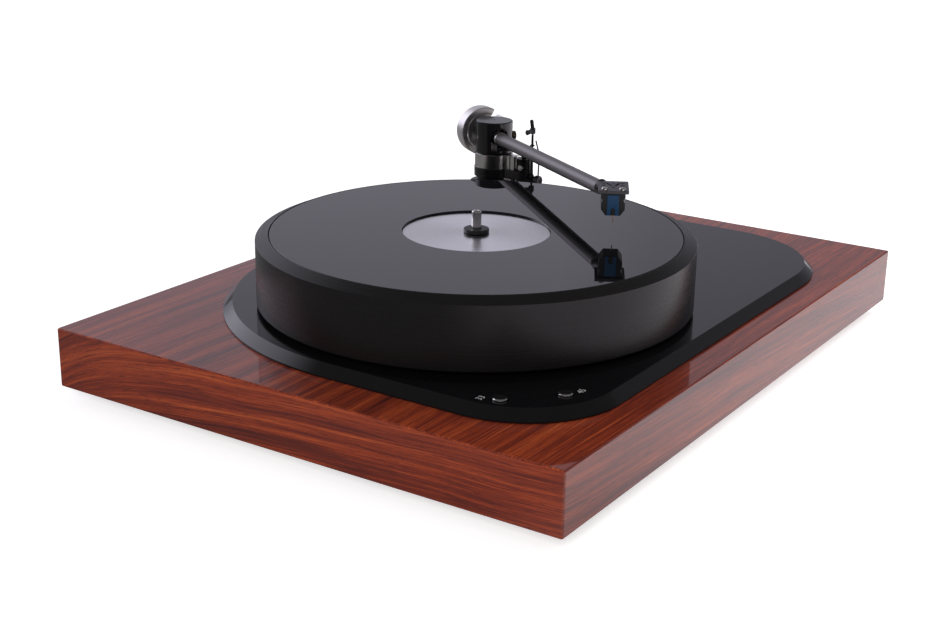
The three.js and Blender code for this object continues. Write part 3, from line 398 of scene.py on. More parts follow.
METALS = {
    "turned_steel": dict(colour=(0.97, 0.965, 0.98), roughness=0.25, grain=(0, 0, 5200), centre=spindle),
    "polished_steel": dict(colour=(0.74, 0.72, 0.69), roughness=0.2),
    "bearing_steel": dict(colour=(0.95, 0.92, 0.91), roughness=0.18),
    "bronze": dict(colour=(0.16, 0.13, 0.075), roughness=0.34),
    "gilt": dict(colour=(0.42, 0.25, 0.15), roughness=0.3),
    "arm_grey": dict(
        colour=(0.19, 0.18, 0.185), roughness=0.4, grain=(900, 900, 900), grain_depth=0.02, metallic=0.7),
    "head_grey": dict(colour=(0.105, 0.10, 0.108), roughness=0.36, grain=(900, 900, 900), grain_depth=0.05),
    "weight_steel": dict(colour=(0.95, 0.92, 0.89), roughness=0.34, grain=(600, 600, 600), grain_depth=0.1),
    "copper_wound": dict(colour=(0.55, 0.27, 0.13), roughness=0.3, grain=(2600, 2600, 2600)),
    "magnet": dict(colour=(0.12, 0.12, 0.13), roughness=0.4),
}
PLASTICS = {
    "black_metal": dict(colour=(0.006, 0.006, 0.0065), roughness=0.15, depth=0.000004, ior=1.5),
    "black_plastic": dict(colour=(0.014, 0.014, 0.015), roughness=0.38),
    "rubber": dict(colour=(0.012, 0.012, 0.012), roughness=0.85, depth=0.0001),
    "board_green": dict(colour=(0.02, 0.09, 0.04), roughness=0.35),
    "thrust_plastic": dict(colour=(0.70, 0.68, 0.60), roughness=0.45),
    "blue_face": dict(colour=(0.006, 0.050, 0.125), roughness=0.3),
}


def make_materials():
    return {
        "rosewood": wood(),
        "black_gloss": black_gloss(),
        "black_glass": black_glass(),
        "black_anodised": black_anodised(),
        "print_white": print_white(),
        **{name: metal(name, **look) for name, look in METALS.items()},
        **{name: plastic(name, **look) for name, look in PLASTICS.items()},
    }


# Finish of the solids

NODE_EDGE = 0.25 * MM
NODE_EDGES = {"plinth": 0.6 * MM}
NODE_EDGE_ANGLE = 38
WELD_REACH = 0.002 * MM
FINISH_INSTEAD = {"yaw_housing": "black_metal"}


def soften(obj, width, segments, angle):
    """Rounds the edges that turn by more than an angle and evens out the shading."""
    bevel = obj.modifiers.new("edges", "BEVEL")
    bevel.width = width
    bevel.segments = segments
    bevel.limit_method = "ANGLE"
    bevel.angle_limit = math.radians(angle)
    bevel.harden_normals = True
    obj.modifiers.new("normals", "WEIGHTED_NORMAL").keep_sharp = False
    for polygon in obj.data.polygons:
        polygon.use_smooth = True


def dress_nodes():
    finish = {}
    for part in frame["record"]["subparts"]:
        for node in part.get("nodes", [part.get("node")]):
            finish[node] = part.get("material_slot") or part.get("material")
    for name, obj in frame["nodes"].items():
        slot = FINISH_INSTEAD.get(name) or finish.get(name)
        obj.data.materials.clear()
        obj.data.materials.append(materials[slot])
        obj.modifiers.new("weld", "WELD").merge_threshold = WELD_REACH
        soften(obj, NODE_EDGES.get(name, NODE_EDGE), segments=2, angle=NODE_EDGE_ANGLE)


# Finer pieces

def add_piece(name, mesh, body, slot, *nodes, finish=None, edge=0.1 * MM, segments=2, angle=28):
    """Puts a mesh into the scene as a piece that rides on a body and stands for nodes."""
    mesh.name = name
    obj = link(name, mesh)
    mesh.materials.append(materials[finish or slot])
    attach(obj, body)
    if nodes:
        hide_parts(*nodes)
    soften(obj, edge, segments, angle)


def mesh_of(made):
    """Mesh from a finished bmesh."""
    mesh = bpy.data.meshes.new("piece")
    made.to_mesh(mesh)
    made.free()
    return mesh


def next_pairs(items):
    """Each item of a closed loop with the one after it."""
    return zip(items, items[1:] + items[:1])


def skin(made, rows):
    """Faces between rows of corners, each row a closed loop."""
    for near, far in zip(rows, rows[1:]):
        for (a, b), (c, d) in zip(next_pairs(near), next_pairs(far)):
            made.faces.new((a, b, d, c))


def circle(radius, x=0.0, y=0.0, faces=FINE):
    angles = (math.tau * i / faces for i in range(faces))
    return [(x + radius * math.cos(angle), y + radius * math.sin(angle)) for angle in angles]


def turned(profile, faces, place=Vector((0, 0, 0))):
    """Mesh turned about a vertical axis; profile points are (radius, height), from axis to axis
    or round a closed loop."""
    made = bmesh.new()
    rings = []
    for radius, height in profile:
        points = circle(radius, place.x, place.y, faces) if radius else [(place.x, place.y)]
        rings.append([made.verts.new((x, y, place.z + height)) for x, y in points])
    is_loop = profile[0][0] > 0
    for low, high in zip(rings, rings[1:] + (rings[:1] if is_loop else [])):
        for i in range(faces):
            j = (i + 1) % faces
            corners = [low[i % len(low)], low[j % len(low)], high[j % len(high)], high[i % len(high)]]
            made.faces.new(list(dict.fromkeys(corners)))
    bmesh.ops.recalc_face_normals(made, faces=made.faces)
    return mesh_of(made)


def joined(*meshes):
    made = bmesh.new()
    for mesh in meshes:
        made.from_mesh(mesh)
    return mesh_of(made)


def slab(outline, low, high, holes=()):
    """Flat mesh from an outline and its holes, lists of (x, y)."""
    made = bmesh.new()
    edges = []
    for loop in (outline, *holes):
        points = [made.verts.new((x, y, low)) for x, y in loop]
        edges += [made.edges.new(pair) for pair in next_pairs(points)]
    bmesh.ops.triangle_fill(made, edges=edges, use_beauty=True, use_dissolve=False)
    raised = bmesh.ops.extrude_face_region(made, geom=list(made.faces))["geom"]
    corners = [part for part in raised if isinstance(part, bmesh.types.BMVert)]
    bmesh.ops.translate(made, verts=corners, vec=(0, 0, high - low))
    bmesh.ops.recalc_face_normals(made, faces=made.faces)
    return mesh_of(made)


def box_outline(left, right, front, rear):
    return [(left, front), (right, front), (right, rear), (left, rear)]


def rod(start, end, radius, end_radius=None, faces=32, rounding=0.15):
    """Turned bar between two points, with rounded ends."""
    start, end = Vector(start), Vector(end)
    end_radius = end_radius or radius
    length = (end - start).length
    mesh = turned([
        (0, 0), (radius - rounding, 0), (radius, rounding),
        (end_radius, length - rounding), (end_radius - rounding, length), (0, length),
    ], faces)
    mesh.transform(Matrix.Translation(start) @ (end - start).to_track_quat("Z", "Y").to_matrix().to_4x4())
    return mesh


# Platter, mat and label disc

BEVEL_WIDTH, BEVEL_DROP = 9.3 * MM, 3.8 * MM      # of the platter's upper edge
PLATTER_FOOT = 1 * MM                             # chamfer of its lower edge
POCKET_RADIUS, POCKET_DEPTH = 76 * MM, 20 * MM    # hollow under the platter for the motor
HUB_HOLE = 12 * MM
MAT_GAP = 0.5 * MM                                # from the mat to the wall of its recess
MAT_CHAMFER = 0.4 * MM
SEAT = 0.3 * MM                                   # from the mat to what lies under and inside it
LABEL_BORE = 3.9 * MM


def height_of(node):
    low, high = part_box(node)
    return low[2], high[2]


def radius_of(node):
    low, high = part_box(node)
    return (high[0] - low[0]) / 2


def rotor_pieces():
    """Platter, mat and label disc with finer rounds than the solids."""
    bottom, top = height_of("platter")
    outer = radius_of("platter")
    mat_low, mat_high = height_of("mat")
    mat_outer = radius_of("mat")
    label_low, label_high = height_of("label_disc")
    label_outer = radius_of("label_disc")

    recess, bed = mat_outer + MAT_GAP, mat_low - SEAT
    roof = bottom + POCKET_DEPTH
    add_piece("platter_fine", turned([
        (POCKET_RADIUS, bottom), (outer - PLATTER_FOOT, bottom), (outer, bottom + PLATTER_FOOT),
        (outer, top - BEVEL_DROP), (outer - BEVEL_WIDTH, top), (recess, top), (recess, bed),
        (HUB_HOLE, bed), (HUB_HOLE, roof), (POCKET_RADIUS, roof),
    ], ROUND, spindle), "platter", "black_anodised", "platter", edge=0.45 * MM, segments=4, angle=18)

    mat_inner = label_outer + SEAT
    add_piece("mat_fine", turned([
        (mat_inner, mat_low), (mat_outer - MAT_CHAMFER, mat_low), (mat_outer, mat_low + MAT_CHAMFER),
        (mat_outer, mat_high - MAT_CHAMFER), (mat_outer - MAT_CHAMFER, mat_high), (mat_inner, mat_high),
    ], ROUND, spindle), "platter", "black_glass", "mat", edge=0.2 * MM)

    add_piece("label_plate", turned([
        (LABEL_BORE, label_low), (label_outer, label_low), (label_outer, label_high),
        (LABEL_BORE, label_high),
    ], ROUND, spindle), "platter", "turned_steel", "label_disc", edge=0.2 * MM)


# Frames of the tonearm; the shapes in them are in millimetres

HEAD_DISTANCE = 266.8          # from the pitch pivot to the line of the stylus
HEAD_YAW = -60.5               # the head's front is -Y of its frame
BRACKET_YAW = -5.5


def axes(x, y, z, place):
    return Matrix.Translation(place) @ Matrix((x, y, z)).transposed().to_4x4()


arm_right = arm_back.cross(UP).normalized()
arm_frame = axes(arm_right, arm_back, arm_right.cross(arm_back), pitch_point)
tube_frame = arm_frame @ turn(90, "X")            # Z runs from the pivot toward the head
head_frame = Matrix.Translation(pitch_point - arm_back * HEAD_DISTANCE * MM) @ turn(HEAD_YAW, "Z")
pillar_frame = Matrix.Translation((pitch_point.x, pitch_point.y, 0))
bracket_frame = pillar_frame @ turn(BRACKET_YAW, "Z")


def in_frame(mesh, matrix):
    """Takes a mesh in millimetres into a frame."""
    mesh.transform(matrix @ Matrix.Scale(MM, 4))
    return mesh


# Tube and ferrule, measured from the pivot

TUBE_FROM, TUBE_TO = 8.0, 243.0
TUBE_ROOT, TUBE_TIP = 5.5, 5.2                    # radii
FERRULE_FROM, FERRULE_TO = 12.5, 19.6
FERRULE_BORE, FERRULE_RADIUS = 5.6, 6.3
FERRULE_CHAMFER = (0.2, 0.5)                      # across and along, at the end near the pivot
FERRULE_TAPER = (0.4, 1.4)                        # the same, toward the head
FERRULE_LIP = 0.2


def tube_pieces():
    tube = turned([(0, TUBE_FROM), (TUBE_ROOT, TUBE_FROM), (TUBE_TIP, TUBE_TO), (0, TUBE_TO)], FINE)
    add_piece("arm_tube_fine", in_frame(tube, tube_frame), "arm", "arm_grey", "arm_tube")
    ferrule = turned([
        (FERRULE_BORE, FERRULE_FROM), (FERRULE_RADIUS - FERRULE_CHAMFER[0], FERRULE_FROM),
        (FERRULE_RADIUS, FERRULE_FROM + FERRULE_CHAMFER[1]), (FERRULE_RADIUS, FERRULE_TO - FERRULE_TAPER[1]),
        (FERRULE_RADIUS - FERRULE_TAPER[0], FERRULE_TO - FERRULE_LIP), (FERRULE_BORE, FERRULE_TO),
    ], FINE)
    add_piece("ferrule_ring", in_frame(ferrule, tube_frame), "arm", "polished_steel", "tube_ferrule")


# Counterweight

WEIGHT_FROM, WEIGHT_LENGTH = 25.0, 17.0
WEIGHT_RADIUS, WEIGHT_BORE, NOTCH_FLOOR = 21.5, 3.9, 9.0
WEIGHT_CHAMFER = 0.7
DISH_OUTER, DISH_INNER, DISH_DEPTH = 17.0, 7.6, 1.4    # hollow of the face toward the pillar
BOSS_RADIUS, BOSS_DEPTH = 7.0, 0.9
NOTCH_TURN, NOTCH_HALF = 39, 14.8                 # degrees
RIM_STEPS, NOTCH_STEPS = 360, 24
MERGE_REACH = 0.0001


def weight_piece():
    """Round weight with an open notch, in a frame whose Z runs from the pillar outward."""
    shoulder = WEIGHT_RADIUS - WEIGHT_CHAMFER
    profile = [
        (shoulder, WEIGHT_LENGTH), (WEIGHT_RADIUS, WEIGHT_LENGTH - WEIGHT_CHAMFER),
        (WEIGHT_RADIUS, WEIGHT_CHAMFER), (shoulder, 0.0), (DISH_OUTER, 0.0),
        (DISH_OUTER - DISH_DEPTH, DISH_DEPTH), (DISH_INNER, DISH_DEPTH), (BOSS_RADIUS, BOSS_DEPTH),
        (WEIGHT_BORE, BOSS_DEPTH), (WEIGHT_BORE, WEIGHT_LENGTH),
    ]
    notch_profile = [(min(radius, NOTCH_FLOOR), z) for radius, z in profile]
    middle, half = math.radians(90 + NOTCH_TURN), math.radians(NOTCH_HALF)
    made = bmesh.new()

    def row(angle, points):
        return [made.verts.new((r * math.cos(angle), r * math.sin(angle), z)) for r, z in points]

    angles = [middle + half + (math.tau - 2 * half) * i / RIM_STEPS for i in range(RIM_STEPS + 1)]
    rim = [row(angle, profile) for angle in angles]
    floors = [row(middle - half + 2 * half * i / NOTCH_STEPS, notch_profile) for i in range(1, NOTCH_STEPS)]
    skin(made, rim)
    made.faces.new(rim[-1])
    made.faces.new(rim[0])
    skin(made, [row(angles[-1], notch_profile), *floors, row(angles[0], notch_profile)])
    bmesh.ops.remove_doubles(made, verts=made.verts, dist=MERGE_REACH)
    bmesh.ops.dissolve_degenerate(made, edges=made.edges, dist=MERGE_REACH)
    bmesh.ops.recalc_face_normals(made, faces=made.faces)

    outward = arm_frame @ Matrix.Translation((0, WEIGHT_FROM * MM, 0)) @ turn(-90, "X") @ turn(180, "Z")
    add_piece("counterweight_disc", in_frame(mesh_of(made), outward), "counterweight", "polished_steel",
              "counterweight", finish="weight_steel", edge=0.3 * MM)


# Head, in the head's frame

HEAD_TOP, HEAD_LOW = 4.4, 2.0
HEAD_OUTLINE = box_outline(-11.1, 11.1, -9.4, 19.5)
SLOT_HALF = 0.75
SLOT_REAR, SLOT_FRONT = (4.6, 12.9), (1.3, 5.8)   # ends of the slanted slots, mirrored
SIDE_WINDOWS = ((5.4, 8.2, 5.4, 7.0), (5.6, 8.2, 11.6, 13.2))    # mirrored
MIDDLE_WINDOW = (-1.4, 1.4, 0.2, 1.8)
PEEPHOLE = (0.8, 0, 11.0)                         # radius and place
NECK_REAR, NECK_FRONT = (-8.8, 22.0, 0.9), (-5.0, 12.6, -0.8)
NECK_RADII = (4.6, 2.8)
SCREW_SIDE, SCREW_Y = 6.35, -6.2
# Screw head: radius and height over the plate, from the sunk end to the crown
SCREW_HEAD = [(0, -2.0), (2.2, -2.0), (2.4, 0.1), (2.4, 1.0), (1.9, 1.5), (1.0, 1.7), (0, 1.75)]


def slanted(start, end):
    """Corners of a slot between two points."""
    start, end = Vector(start), Vector(end)
    side = (end - start).normalized().orthogonal() * SLOT_HALF
    return [tuple(start + side), tuple(end + side), tuple(end - side), tuple(start - side)]


def head_pieces():
    holes = [box_outline(*MIDDLE_WINDOW), circle(*PEEPHOLE, faces=16)]
    for side in (-1, 1):
        holes.append(slanted((side * SLOT_REAR[0], SLOT_REAR[1]), (side * SLOT_FRONT[0], SLOT_FRONT[1])))
        for inner, outer, front, rear in SIDE_WINDOWS:
            holes.append(box_outline(*sorted((side * inner, side * outer)), front, rear))
    plate = slab(HEAD_OUTLINE, HEAD_LOW, HEAD_TOP, holes)
    neck = rod(NECK_REAR, NECK_FRONT, *NECK_RADII, faces=SMALL)
    add_piece("head_plate", in_frame(joined(plate, neck), head_frame), "arm", "arm_grey", "headshell",
              finish="head_grey", edge=0.12 * MM)
    for side, name in ((-1, "left"), (1, "right")):
        screw = turned(SCREW_HEAD, SMALL, Vector((side * SCREW_SIDE, SCREW_Y, HEAD_TOP)))
        add_piece("head_screw_" + name, in_frame(screw, head_frame), "arm", "polished_steel",
                  "cartridge_screw_" + name)


# Cartridge, seen as outlines from the front, in the head's frame

BODY_SIDES = [(8.8, 1.7), (8.8, -1.6), (7.5, -3.0), (7.5, -3.7), (8.6, -5.4), (8.6, -10.2), (5.4, -14.6)]
BODY_REAR, BODY_FRONT = -12.8, 6.9
FACE_HALF, FACE_LOW, FACE_HIGH = 4.2, -14.4, 0.7
FACE_BACK, FACE_FRONT = 6.7, 7.9
ARCH_HALF, ARCH_TOP, ARCH_STEPS = 1.7, -8.9, 16
PIN_SIDES, PIN_HEIGHT = (-6.6, -2.4, 2.4, 6.6), -0.6
PIN_FROM, PIN_TO, PIN_RADIUS = 12.0, 17.0, 0.55


def cartridge_pieces():
    """Black body with the coloured face let onto its front, and its pins."""
    upright = head_frame @ turn(90, "X")
    sides = BODY_SIDES + [(-x, z) for x, z in reversed(BODY_SIDES)]
    add_piece("cartridge_block", in_frame(slab(sides, BODY_REAR, BODY_FRONT), upright), "arm",
              "black_plastic", "cartridge_body", edge=0.2 * MM)
    turns = (math.pi * i / ARCH_STEPS for i in range(ARCH_STEPS, -1, -1))
    arch = [(ARCH_HALF * math.cos(a), ARCH_TOP - ARCH_HALF + ARCH_HALF * math.sin(a)) for a in turns]
    outline = [
        (FACE_HALF, FACE_LOW), (FACE_HALF, FACE_HIGH), (-FACE_HALF, FACE_HIGH), (-FACE_HALF, FACE_LOW),
        (-ARCH_HALF, FACE_LOW), *arch, (ARCH_HALF, FACE_LOW),
    ]
    add_piece("cartridge_front", in_frame(slab(outline, FACE_BACK, FACE_FRONT), upright), "arm",
              "blue_face", "cartridge_face", edge=0.12 * MM)
    pins = joined(*(rod((x, PIN_FROM, PIN_HEIGHT), (x, PIN_TO, PIN_HEIGHT), PIN_RADIUS) for x in PIN_SIDES))
    add_piece("cartridge_pins", in_frame(pins, head_frame), "arm", "black_plastic")


# Pillar's sleeve, cheek and screws, with heights above the floor

SLEEVE = [(14.0, 98.3), (17.0, 98.3), (17.15, 98.6), (17.15, 103.2), (16.9, 103.5), (14.0, 103.5)]
GROOVE = [(16.0, 94.9), (17.12, 95.2), (17.12, 98.3), (16.0, 98.3)]
CHEEK_OUTLINE, CHEEK_LEVELS = box_outline(-6.0, 5.0, -36.5, -15.5), (92.3, 103.4)
LIFT_SCREW = [(0, 4.0), (2.0, 4.0), (2.7, 5.9), (2.7, 7.4), (2.4, 7.7), (0, 7.9)]
LIFT_SCREW_PLACE = (0, -34.9 * MM, 107.5 * MM)
BAR_OUTLINE, BAR_LEVELS = box_outline(-6.5, -5.9, -24.5, -16.5), (94.2, 95.6)
CHEEK_SCREW_FROM, CHEEK_SCREW_TO = (-5.5, -30.0, 94.9), (-6.7, -30.0, 94.9)
CHEEK_SCREW_RADIUS = 1.2


def pillar_pieces():
    """Black sleeve at the foot of the bearing body, cheek beside it and the bright screws."""
    sleeve = joined(turned(SLEEVE, FINE), turned(GROOVE, FINE))
    add_piece("clamp_sleeve", in_frame(sleeve, pillar_frame), "pillar", "black_metal")
    cheek = slab(CHEEK_OUTLINE, *CHEEK_LEVELS)
    add_piece("bracket_cheek", in_frame(cheek, bracket_frame), "pillar", "black_metal", edge=0.4 * MM)
    side = bracket_frame @ Matrix.Translation(LIFT_SCREW_PLACE) @ turn(-90, "Y")
    add_piece("lift_screw", in_frame(turned(LIFT_SCREW, SMALL), side), "pillar", "polished_steel",
              "bracket_screw")
    bar = slab(BAR_OUTLINE, *BAR_LEVELS)
    screw = rod(CHEEK_SCREW_FROM, CHEEK_SCREW_TO, CHEEK_SCREW_RADIUS)
    add_piece("cheek_screws", in_frame(joined(bar, screw), bracket_frame), "pillar", "polished_steel")


# Rest and its hook, in the bracket's frame

REST_PLACE = Vector((0, -41.9, 0))
REST_STEM = 0.95                                  # radius
REST_PROFILE = [
    (0, 95.8), (1.45, 95.8), (1.45, 98.6), (2.3, 98.8), (2.3, 100.5), (1.3, 103.0), (REST_STEM, 118.0),
    (REST_STEM, 126.6), (2.1, 127.0), (2.1, 127.9), (1.1, 128.4),
]
HOOK_GAP = 0.3                                    # from the post's end to the hook
HOOK_HUB = [(1.4, 0), (2.3, 0), (2.4, 0.2), (2.4, 4.4), (2.0, 5.0), (1.4, 5.0)]
WING_SIDE = [(-1.6, -1.8), (-4.3, -1.3), (-6.6, -2.2), (-8.8, -1.2)]
WING_LEVELS = (0.7, 3.8)
LIP_FROM, LIP_TO, LIP_RADIUS = (-7.7, 0, -0.1), (-7.7, 0, 3.2), 1.1
KNOB_FROM, KNOB_TO, KNOB_RADII = (0, 0, 3.6), (-2.0, 0, 12.2), (1.65, 1.55)
KNOB_ROUNDING = 0.5


def rest_pieces():
    hub_low = hook_place.z / MM
    end = hub_low - HOOK_GAP
    post = turned([*REST_PROFILE, (REST_STEM, end), (0, end)], SMALL, REST_PLACE)
    add_piece("rest_stem", in_frame(post, bracket_frame), "pillar", "black_metal", "rest_post")

    wing = slab(WING_SIDE + [(x, -y) for x, y in reversed(WING_SIDE)], *WING_LEVELS)
    lip = rod(LIP_FROM, LIP_TO, LIP_RADIUS)
    knob = rod(KNOB_FROM, KNOB_TO, *KNOB_RADII, rounding=KNOB_ROUNDING)
    hook = joined(turned(HOOK_HUB, SMALL), wing, lip, knob)
    hook.transform(Matrix.Translation(REST_PLACE + UP * hub_low))
    add_piece("rest_hook_fine", in_frame(hook, bracket_frame), "rest_hook", "black_plastic", "rest_hook",
              edge=0.2 * MM)


# Cue lever, in the bracket's frame

LEVER_HEIGHT, LEVER_FROM = 97.5, -46.3
LEVER_HUB = [(1.4, 0), (4.1, 0), (4.3, 0.2), (4.3, 4.2), (3.9, 4.6), (2.6, 4.6), (2.4, 4.1), (1.4, 4.1)]
LEVER_FOOT, LEVER_KNEE, LEVER_TIP = (0, -49.0, LEVER_HEIGHT + 3.6), (0, -49.4, 121.0), (-1.9, -47.0, 133.0)
WIRE_RADIUS, WIRE_TIP_RADIUS, WIRE_FACES = 0.65, 0.6, 16
LEVER_HUB_FACES = 64


def lever_piece():
    hub = turned(LEVER_HUB, LEVER_HUB_FACES)
    hub.transform(Matrix.Translation((0, LEVER_FROM, LEVER_HEIGHT)) @ turn(90, "X"))
    stem = rod(LEVER_FOOT, LEVER_KNEE, WIRE_RADIUS, faces=WIRE_FACES)
    tip = rod(LEVER_KNEE, LEVER_TIP, WIRE_RADIUS, WIRE_TIP_RADIUS, WIRE_FACES)
    add_piece("cue_lever_fine", in_frame(joined(hub, stem, tip), bracket_frame), "cue_lever",
              "bearing_steel", "cue_lever", finish="head_grey")


# Plate with its outline, button wells and figures, in millimetres

PLATE_X, PLATE_Y = (-238.0, 232.0), (-187.0, 187.0)
PLATE_CORNERS = (73.0, 96.0, 70.0, 190.0)         # front left, front right, rear right, rear left
PLATE_LEVELS = ((0.0, 54.3), (0.0, 55.5), (7.0, 62.0))    # inset and height
CORNER_STEPS = 64
BUTTONS = ((-218.0, -130.0), (-187.0, -159.0))
WELL_RADIUS, WELL_FACES = 5.5, 64
STEM_HOLE, BEARING_HOLE = 19.4, 24.0              # radii
FIGURES = (("33", -222.8, -120.8), ("45", -176.2, -166.6))
FIGURE_SIZE, FIGURE_RELIEF, FIGURE_THINNING = 6.75, 0.02, -0.07


def plate_loop(inset):
    (left, right), (front, rear) = PLATE_X, PLATE_Y
    corners = ((left, front, 1, 1, 180), (right, front, -1, 1, 270), (right, rear, -1, -1, 0),
               (left, rear, 1, -1, 90))
    points = []
    for (x, y, side_x, side_y, start), corner in zip(corners, PLATE_CORNERS):
        for i in range(CORNER_STEPS + 1):
            angle = math.radians(start + 90 * i / CORNER_STEPS)
            points.append((x + side_x * corner + (corner - inset) * math.cos(angle),
                           y + side_y * corner + (corner - inset) * math.sin(angle)))
    return points


def plate_piece():
    made = bmesh.new()
    openings = [circle(WELL_RADIUS, x, y, WELL_FACES) for x, y in BUTTONS]
    openings.append(circle(STEM_HOLE, pitch_point.x / MM, pitch_point.y / MM))
    openings.append(circle(BEARING_HOLE, spindle.x / MM, spindle.y / MM))
    loops = [[made.verts.new((x, y, z)) for x, y in plate_loop(inset)] for inset, z in PLATE_LEVELS]
    skin(made, loops)
    walls = []
    for rim, (_, z) in ((loops[0], PLATE_LEVELS[0]), (loops[-1], PLATE_LEVELS[-1])):
        edges = [made.edges.get(pair) for pair in next_pairs(rim)]
        rings = [[made.verts.new((x, y, z)) for x, y in opening] for opening in openings]
        edges += [made.edges.new(pair) for ring in rings for pair in next_pairs(ring)]
        walls.append(rings)
        bmesh.ops.triangle_fill(made, edges=edges, use_beauty=True, use_dissolve=False)
    for wall in zip(*walls):
        skin(made, wall)
    bmesh.ops.recalc_face_normals(made, faces=made.faces)
    mesh = mesh_of(made)
    mesh.transform(Matrix.Scale(MM, 4))
    add_piece("plate_fine", mesh, "base", "black_gloss", "top_plate", edge=0.3 * MM, angle=20)


def figures():
    """Plain numbers beside the buttons, raised a hair above the plate."""
    for words, x, y in FIGURES:
        data = bpy.data.curves.new("figure_" + words, "FONT")
        data.body = words
        data.size = FIGURE_SIZE * MM
        data.extrude = FIGURE_RELIEF * MM
        data.offset = FIGURE_THINNING * MM
        data.align_x = "CENTER"
        data.materials.append(materials["print_white"])
        obj = link("figure_" + words, data)
        obj.location = (x * MM, y * MM, (PLATE_LEVELS[-1][1] + FIGURE_RELIEF) * MM)
        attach(obj, "base")


# Room, floor, lights and camera

BRIGHT_SIDE = 57               # azimuth of the middle of the bright wall
WALL_LEVELS = ((0.0, 0.14), (0.8, 0.24), (0.9, 0.34), (0.93, 0.39), (0.945, 0.50), (1.0, 0.50))
WALL_TINT = (1.0, 0.98, 1.14)
WALL_TOP = (0.33, 0.55)        # sines of the elevations between which the walls fade to the ceiling
CEILING = (0.12, 0.12, 0.12)
PANEL_AZIMUTH, PANEL_ELEVATION = 88, 22           # soft panel that the plate's edge mirrors
PANEL_REACH, PANEL_LEVEL = 34, 1.7
FLOOR_SIZE = 14.0
FLOOR_GLOW, FAR_GLOW = 0.62, 1.0                  # as the camera sees it, near and far away
GLOW_SPAN = (0.7, 2.2)         # distances between which it rises
# Painted light: polished faces see a glow on the floor, none at the left and bright at the front right, a painted
# pool of light.
MIRRORED_GLOW = (0.0, 0.97)    # as polished faces see it, at the left and at the front right
MIRRORED_WAY = (0.3, -0.95)    # level direction in which that glow rises
MIRRORED_SPAN = (0.02, 0.25)
MIRRORED_TINT = (1.0, 0.94, 1.0)
# Painted shade: polished faces see the lit floor's colour dimmed to this share.
MIRRORED_SHARE = 0.36          # of the lit floor's own colour in polished faces
FLOOR_GREYS = (0.80, 0.82)
AIM = Vector((0, 0, 0.06))     # place that the lights look at


def studio_world():
    """Bright wall behind the object that fades round to the sides and up to a dark ceiling."""
    world = bpy.data.worlds.new("studio")
    bpy.context.scene.world = world
    world.use_nodes = True
    graph = Graph(world.node_tree)
    x, y, z = graph.split(graph.node("TexCoord"))

    def along(way):
        level = graph.add(graph.times(x, way.x), graph.times(y, way.y))
        return graph.add(level, graph.times(z, way.z))

    toward = graph.math("DIVIDE", along(direction(BRIGHT_SIDE, 0)), graph.level_distance(x, y))
    share = graph.math("MULTIPLY_ADD", toward, 0.5, 0.5)
    wall = graph.ramp(share, [(place, shaded(WALL_TINT, level)) for place, level in WALL_LEVELS])
    room = graph.blend(graph.remap(z, *WALL_TOP), wall, CEILING)
    panel = along(direction(PANEL_AZIMUTH, PANEL_ELEVATION))
    in_panel = graph.remap(panel, math.cos(math.radians(PANEL_REACH)), 1.0)
    background = graph.tree.nodes["Background"]
    graph.put(background.inputs["Color"], graph.blend(in_panel, room, shaded(WALL_TINT, PANEL_LEVEL)))
    background.inputs["Strength"].default_value = 1.0


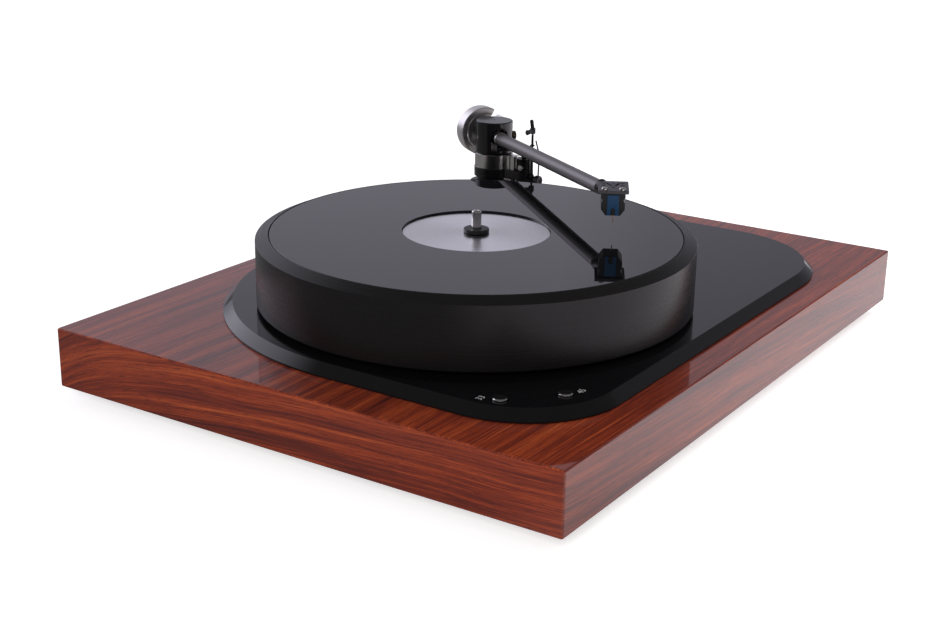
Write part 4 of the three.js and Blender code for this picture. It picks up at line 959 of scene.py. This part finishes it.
def floor():
    graph = Surface("floor")
    path = graph.tree.nodes.new("ShaderNodeLightPath")
    mirrored = graph.math("MAXIMUM", path.outputs["Is Glossy Ray"], path.outputs["Is Transmission Ray"])
    x, y, _ = graph.split(graph.place())
    # Painted pool of light on the floor, seen only by polished faces, rising toward the front right
    frontward = graph.add(graph.times(x, MIRRORED_WAY[0]), graph.times(y, MIRRORED_WAY[1]))
    in_mirrors = graph.remap(frontward, *MIRRORED_SPAN, *MIRRORED_GLOW)
    to_camera = graph.remap(graph.level_distance(x, y), *GLOW_SPAN, FLOOR_GLOW, FAR_GLOW)
    glow = graph.add(
        graph.times(path.outputs["Is Camera Ray"], to_camera), graph.times(mirrored, in_mirrors))
    low, high = FLOOR_GREYS
    plain = graph.blend(graph.noise(graph.place(), scale=3), (low, low, low), (high, high, high))
    # Painted shade: polished faces see the floor darker than the camera does
    mirrored_shade = (MIRRORED_SHARE * (low + high) / 2,) * 3
    graph.finish(
        Base_Color=graph.blend(mirrored, plain, mirrored_shade),
        Roughness=0.9,
        Specular_IOR_Level=0.0,
        Emission_Color=graph.blend(mirrored, (1.0, 1.0, 1.0), MIRRORED_TINT),
        Emission_Strength=glow,
    )
    half = FLOOR_SIZE / 2
    mesh = bpy.data.meshes.new("floor")
    mesh.from_pydata([(x, y, 0) for x, y in box_outline(-half, half, -half, half)], [], [(0, 1, 2, 3)])
    mesh.materials.append(graph.material)
    obj = link("floor", mesh)


def softbox(name, azimuth, elevation, distance, width, height, power):
    """Area light looking at the object, not seen in polished faces."""
    away = direction(azimuth, elevation)
    light = bpy.data.lights.new(name, "AREA")
    light.shape = "RECTANGLE"
    light.size = width
    light.size_y = height
    light.energy = power
    obj = link(name, light)
    obj.location = AIM + away * distance
    obj.rotation_euler = (-away).to_track_quat("-Z", "Y").to_euler()
    obj.visible_glossy = False
    obj.visible_camera = False


def lights():
    softbox("right_box", azimuth=-31, elevation=30, distance=1.9, width=1.1, height=1.2, power=22)
    softbox("left_box", azimuth=195, elevation=26, distance=1.9, width=1.2, height=1.0, power=18)
    softbox("top_box", azimuth=40, elevation=75, distance=1.8, width=1.6, height=1.2, power=3.2)


def camera():
    back = direction(CAMERA_AZIMUTH, CAMERA_ELEVATION)
    right = UP.cross(back).normalized()
    up = back.cross(right)
    roll = math.radians(CAMERA_ROLL)
    turned_right = right * math.cos(roll) + up * math.sin(roll)
    turned_up = up * math.cos(roll) - right * math.sin(roll)
    data = bpy.data.cameras.new("camera")
    data.sensor_fit = "HORIZONTAL"
    data.sensor_width = SENSOR
    data.lens = LENS
    data.clip_start = CLIP_START
    data.clip_end = CLIP_END
    obj = link("camera", data)
    obj.matrix_world = axes(turned_right, turned_up, back, CAMERA_PLACE)
    bpy.context.scene.camera = obj


materials = make_materials()
dress_nodes()
rotor_pieces()
tube_pieces()
weight_piece()
head_pieces()
cartridge_pieces()
pillar_pieces()
rest_pieces()
lever_piece()
plate_piece()
figures()
studio_world()
floor()
lights()
camera()

bpy.context.scene.view_settings.view_transform = "Standard"
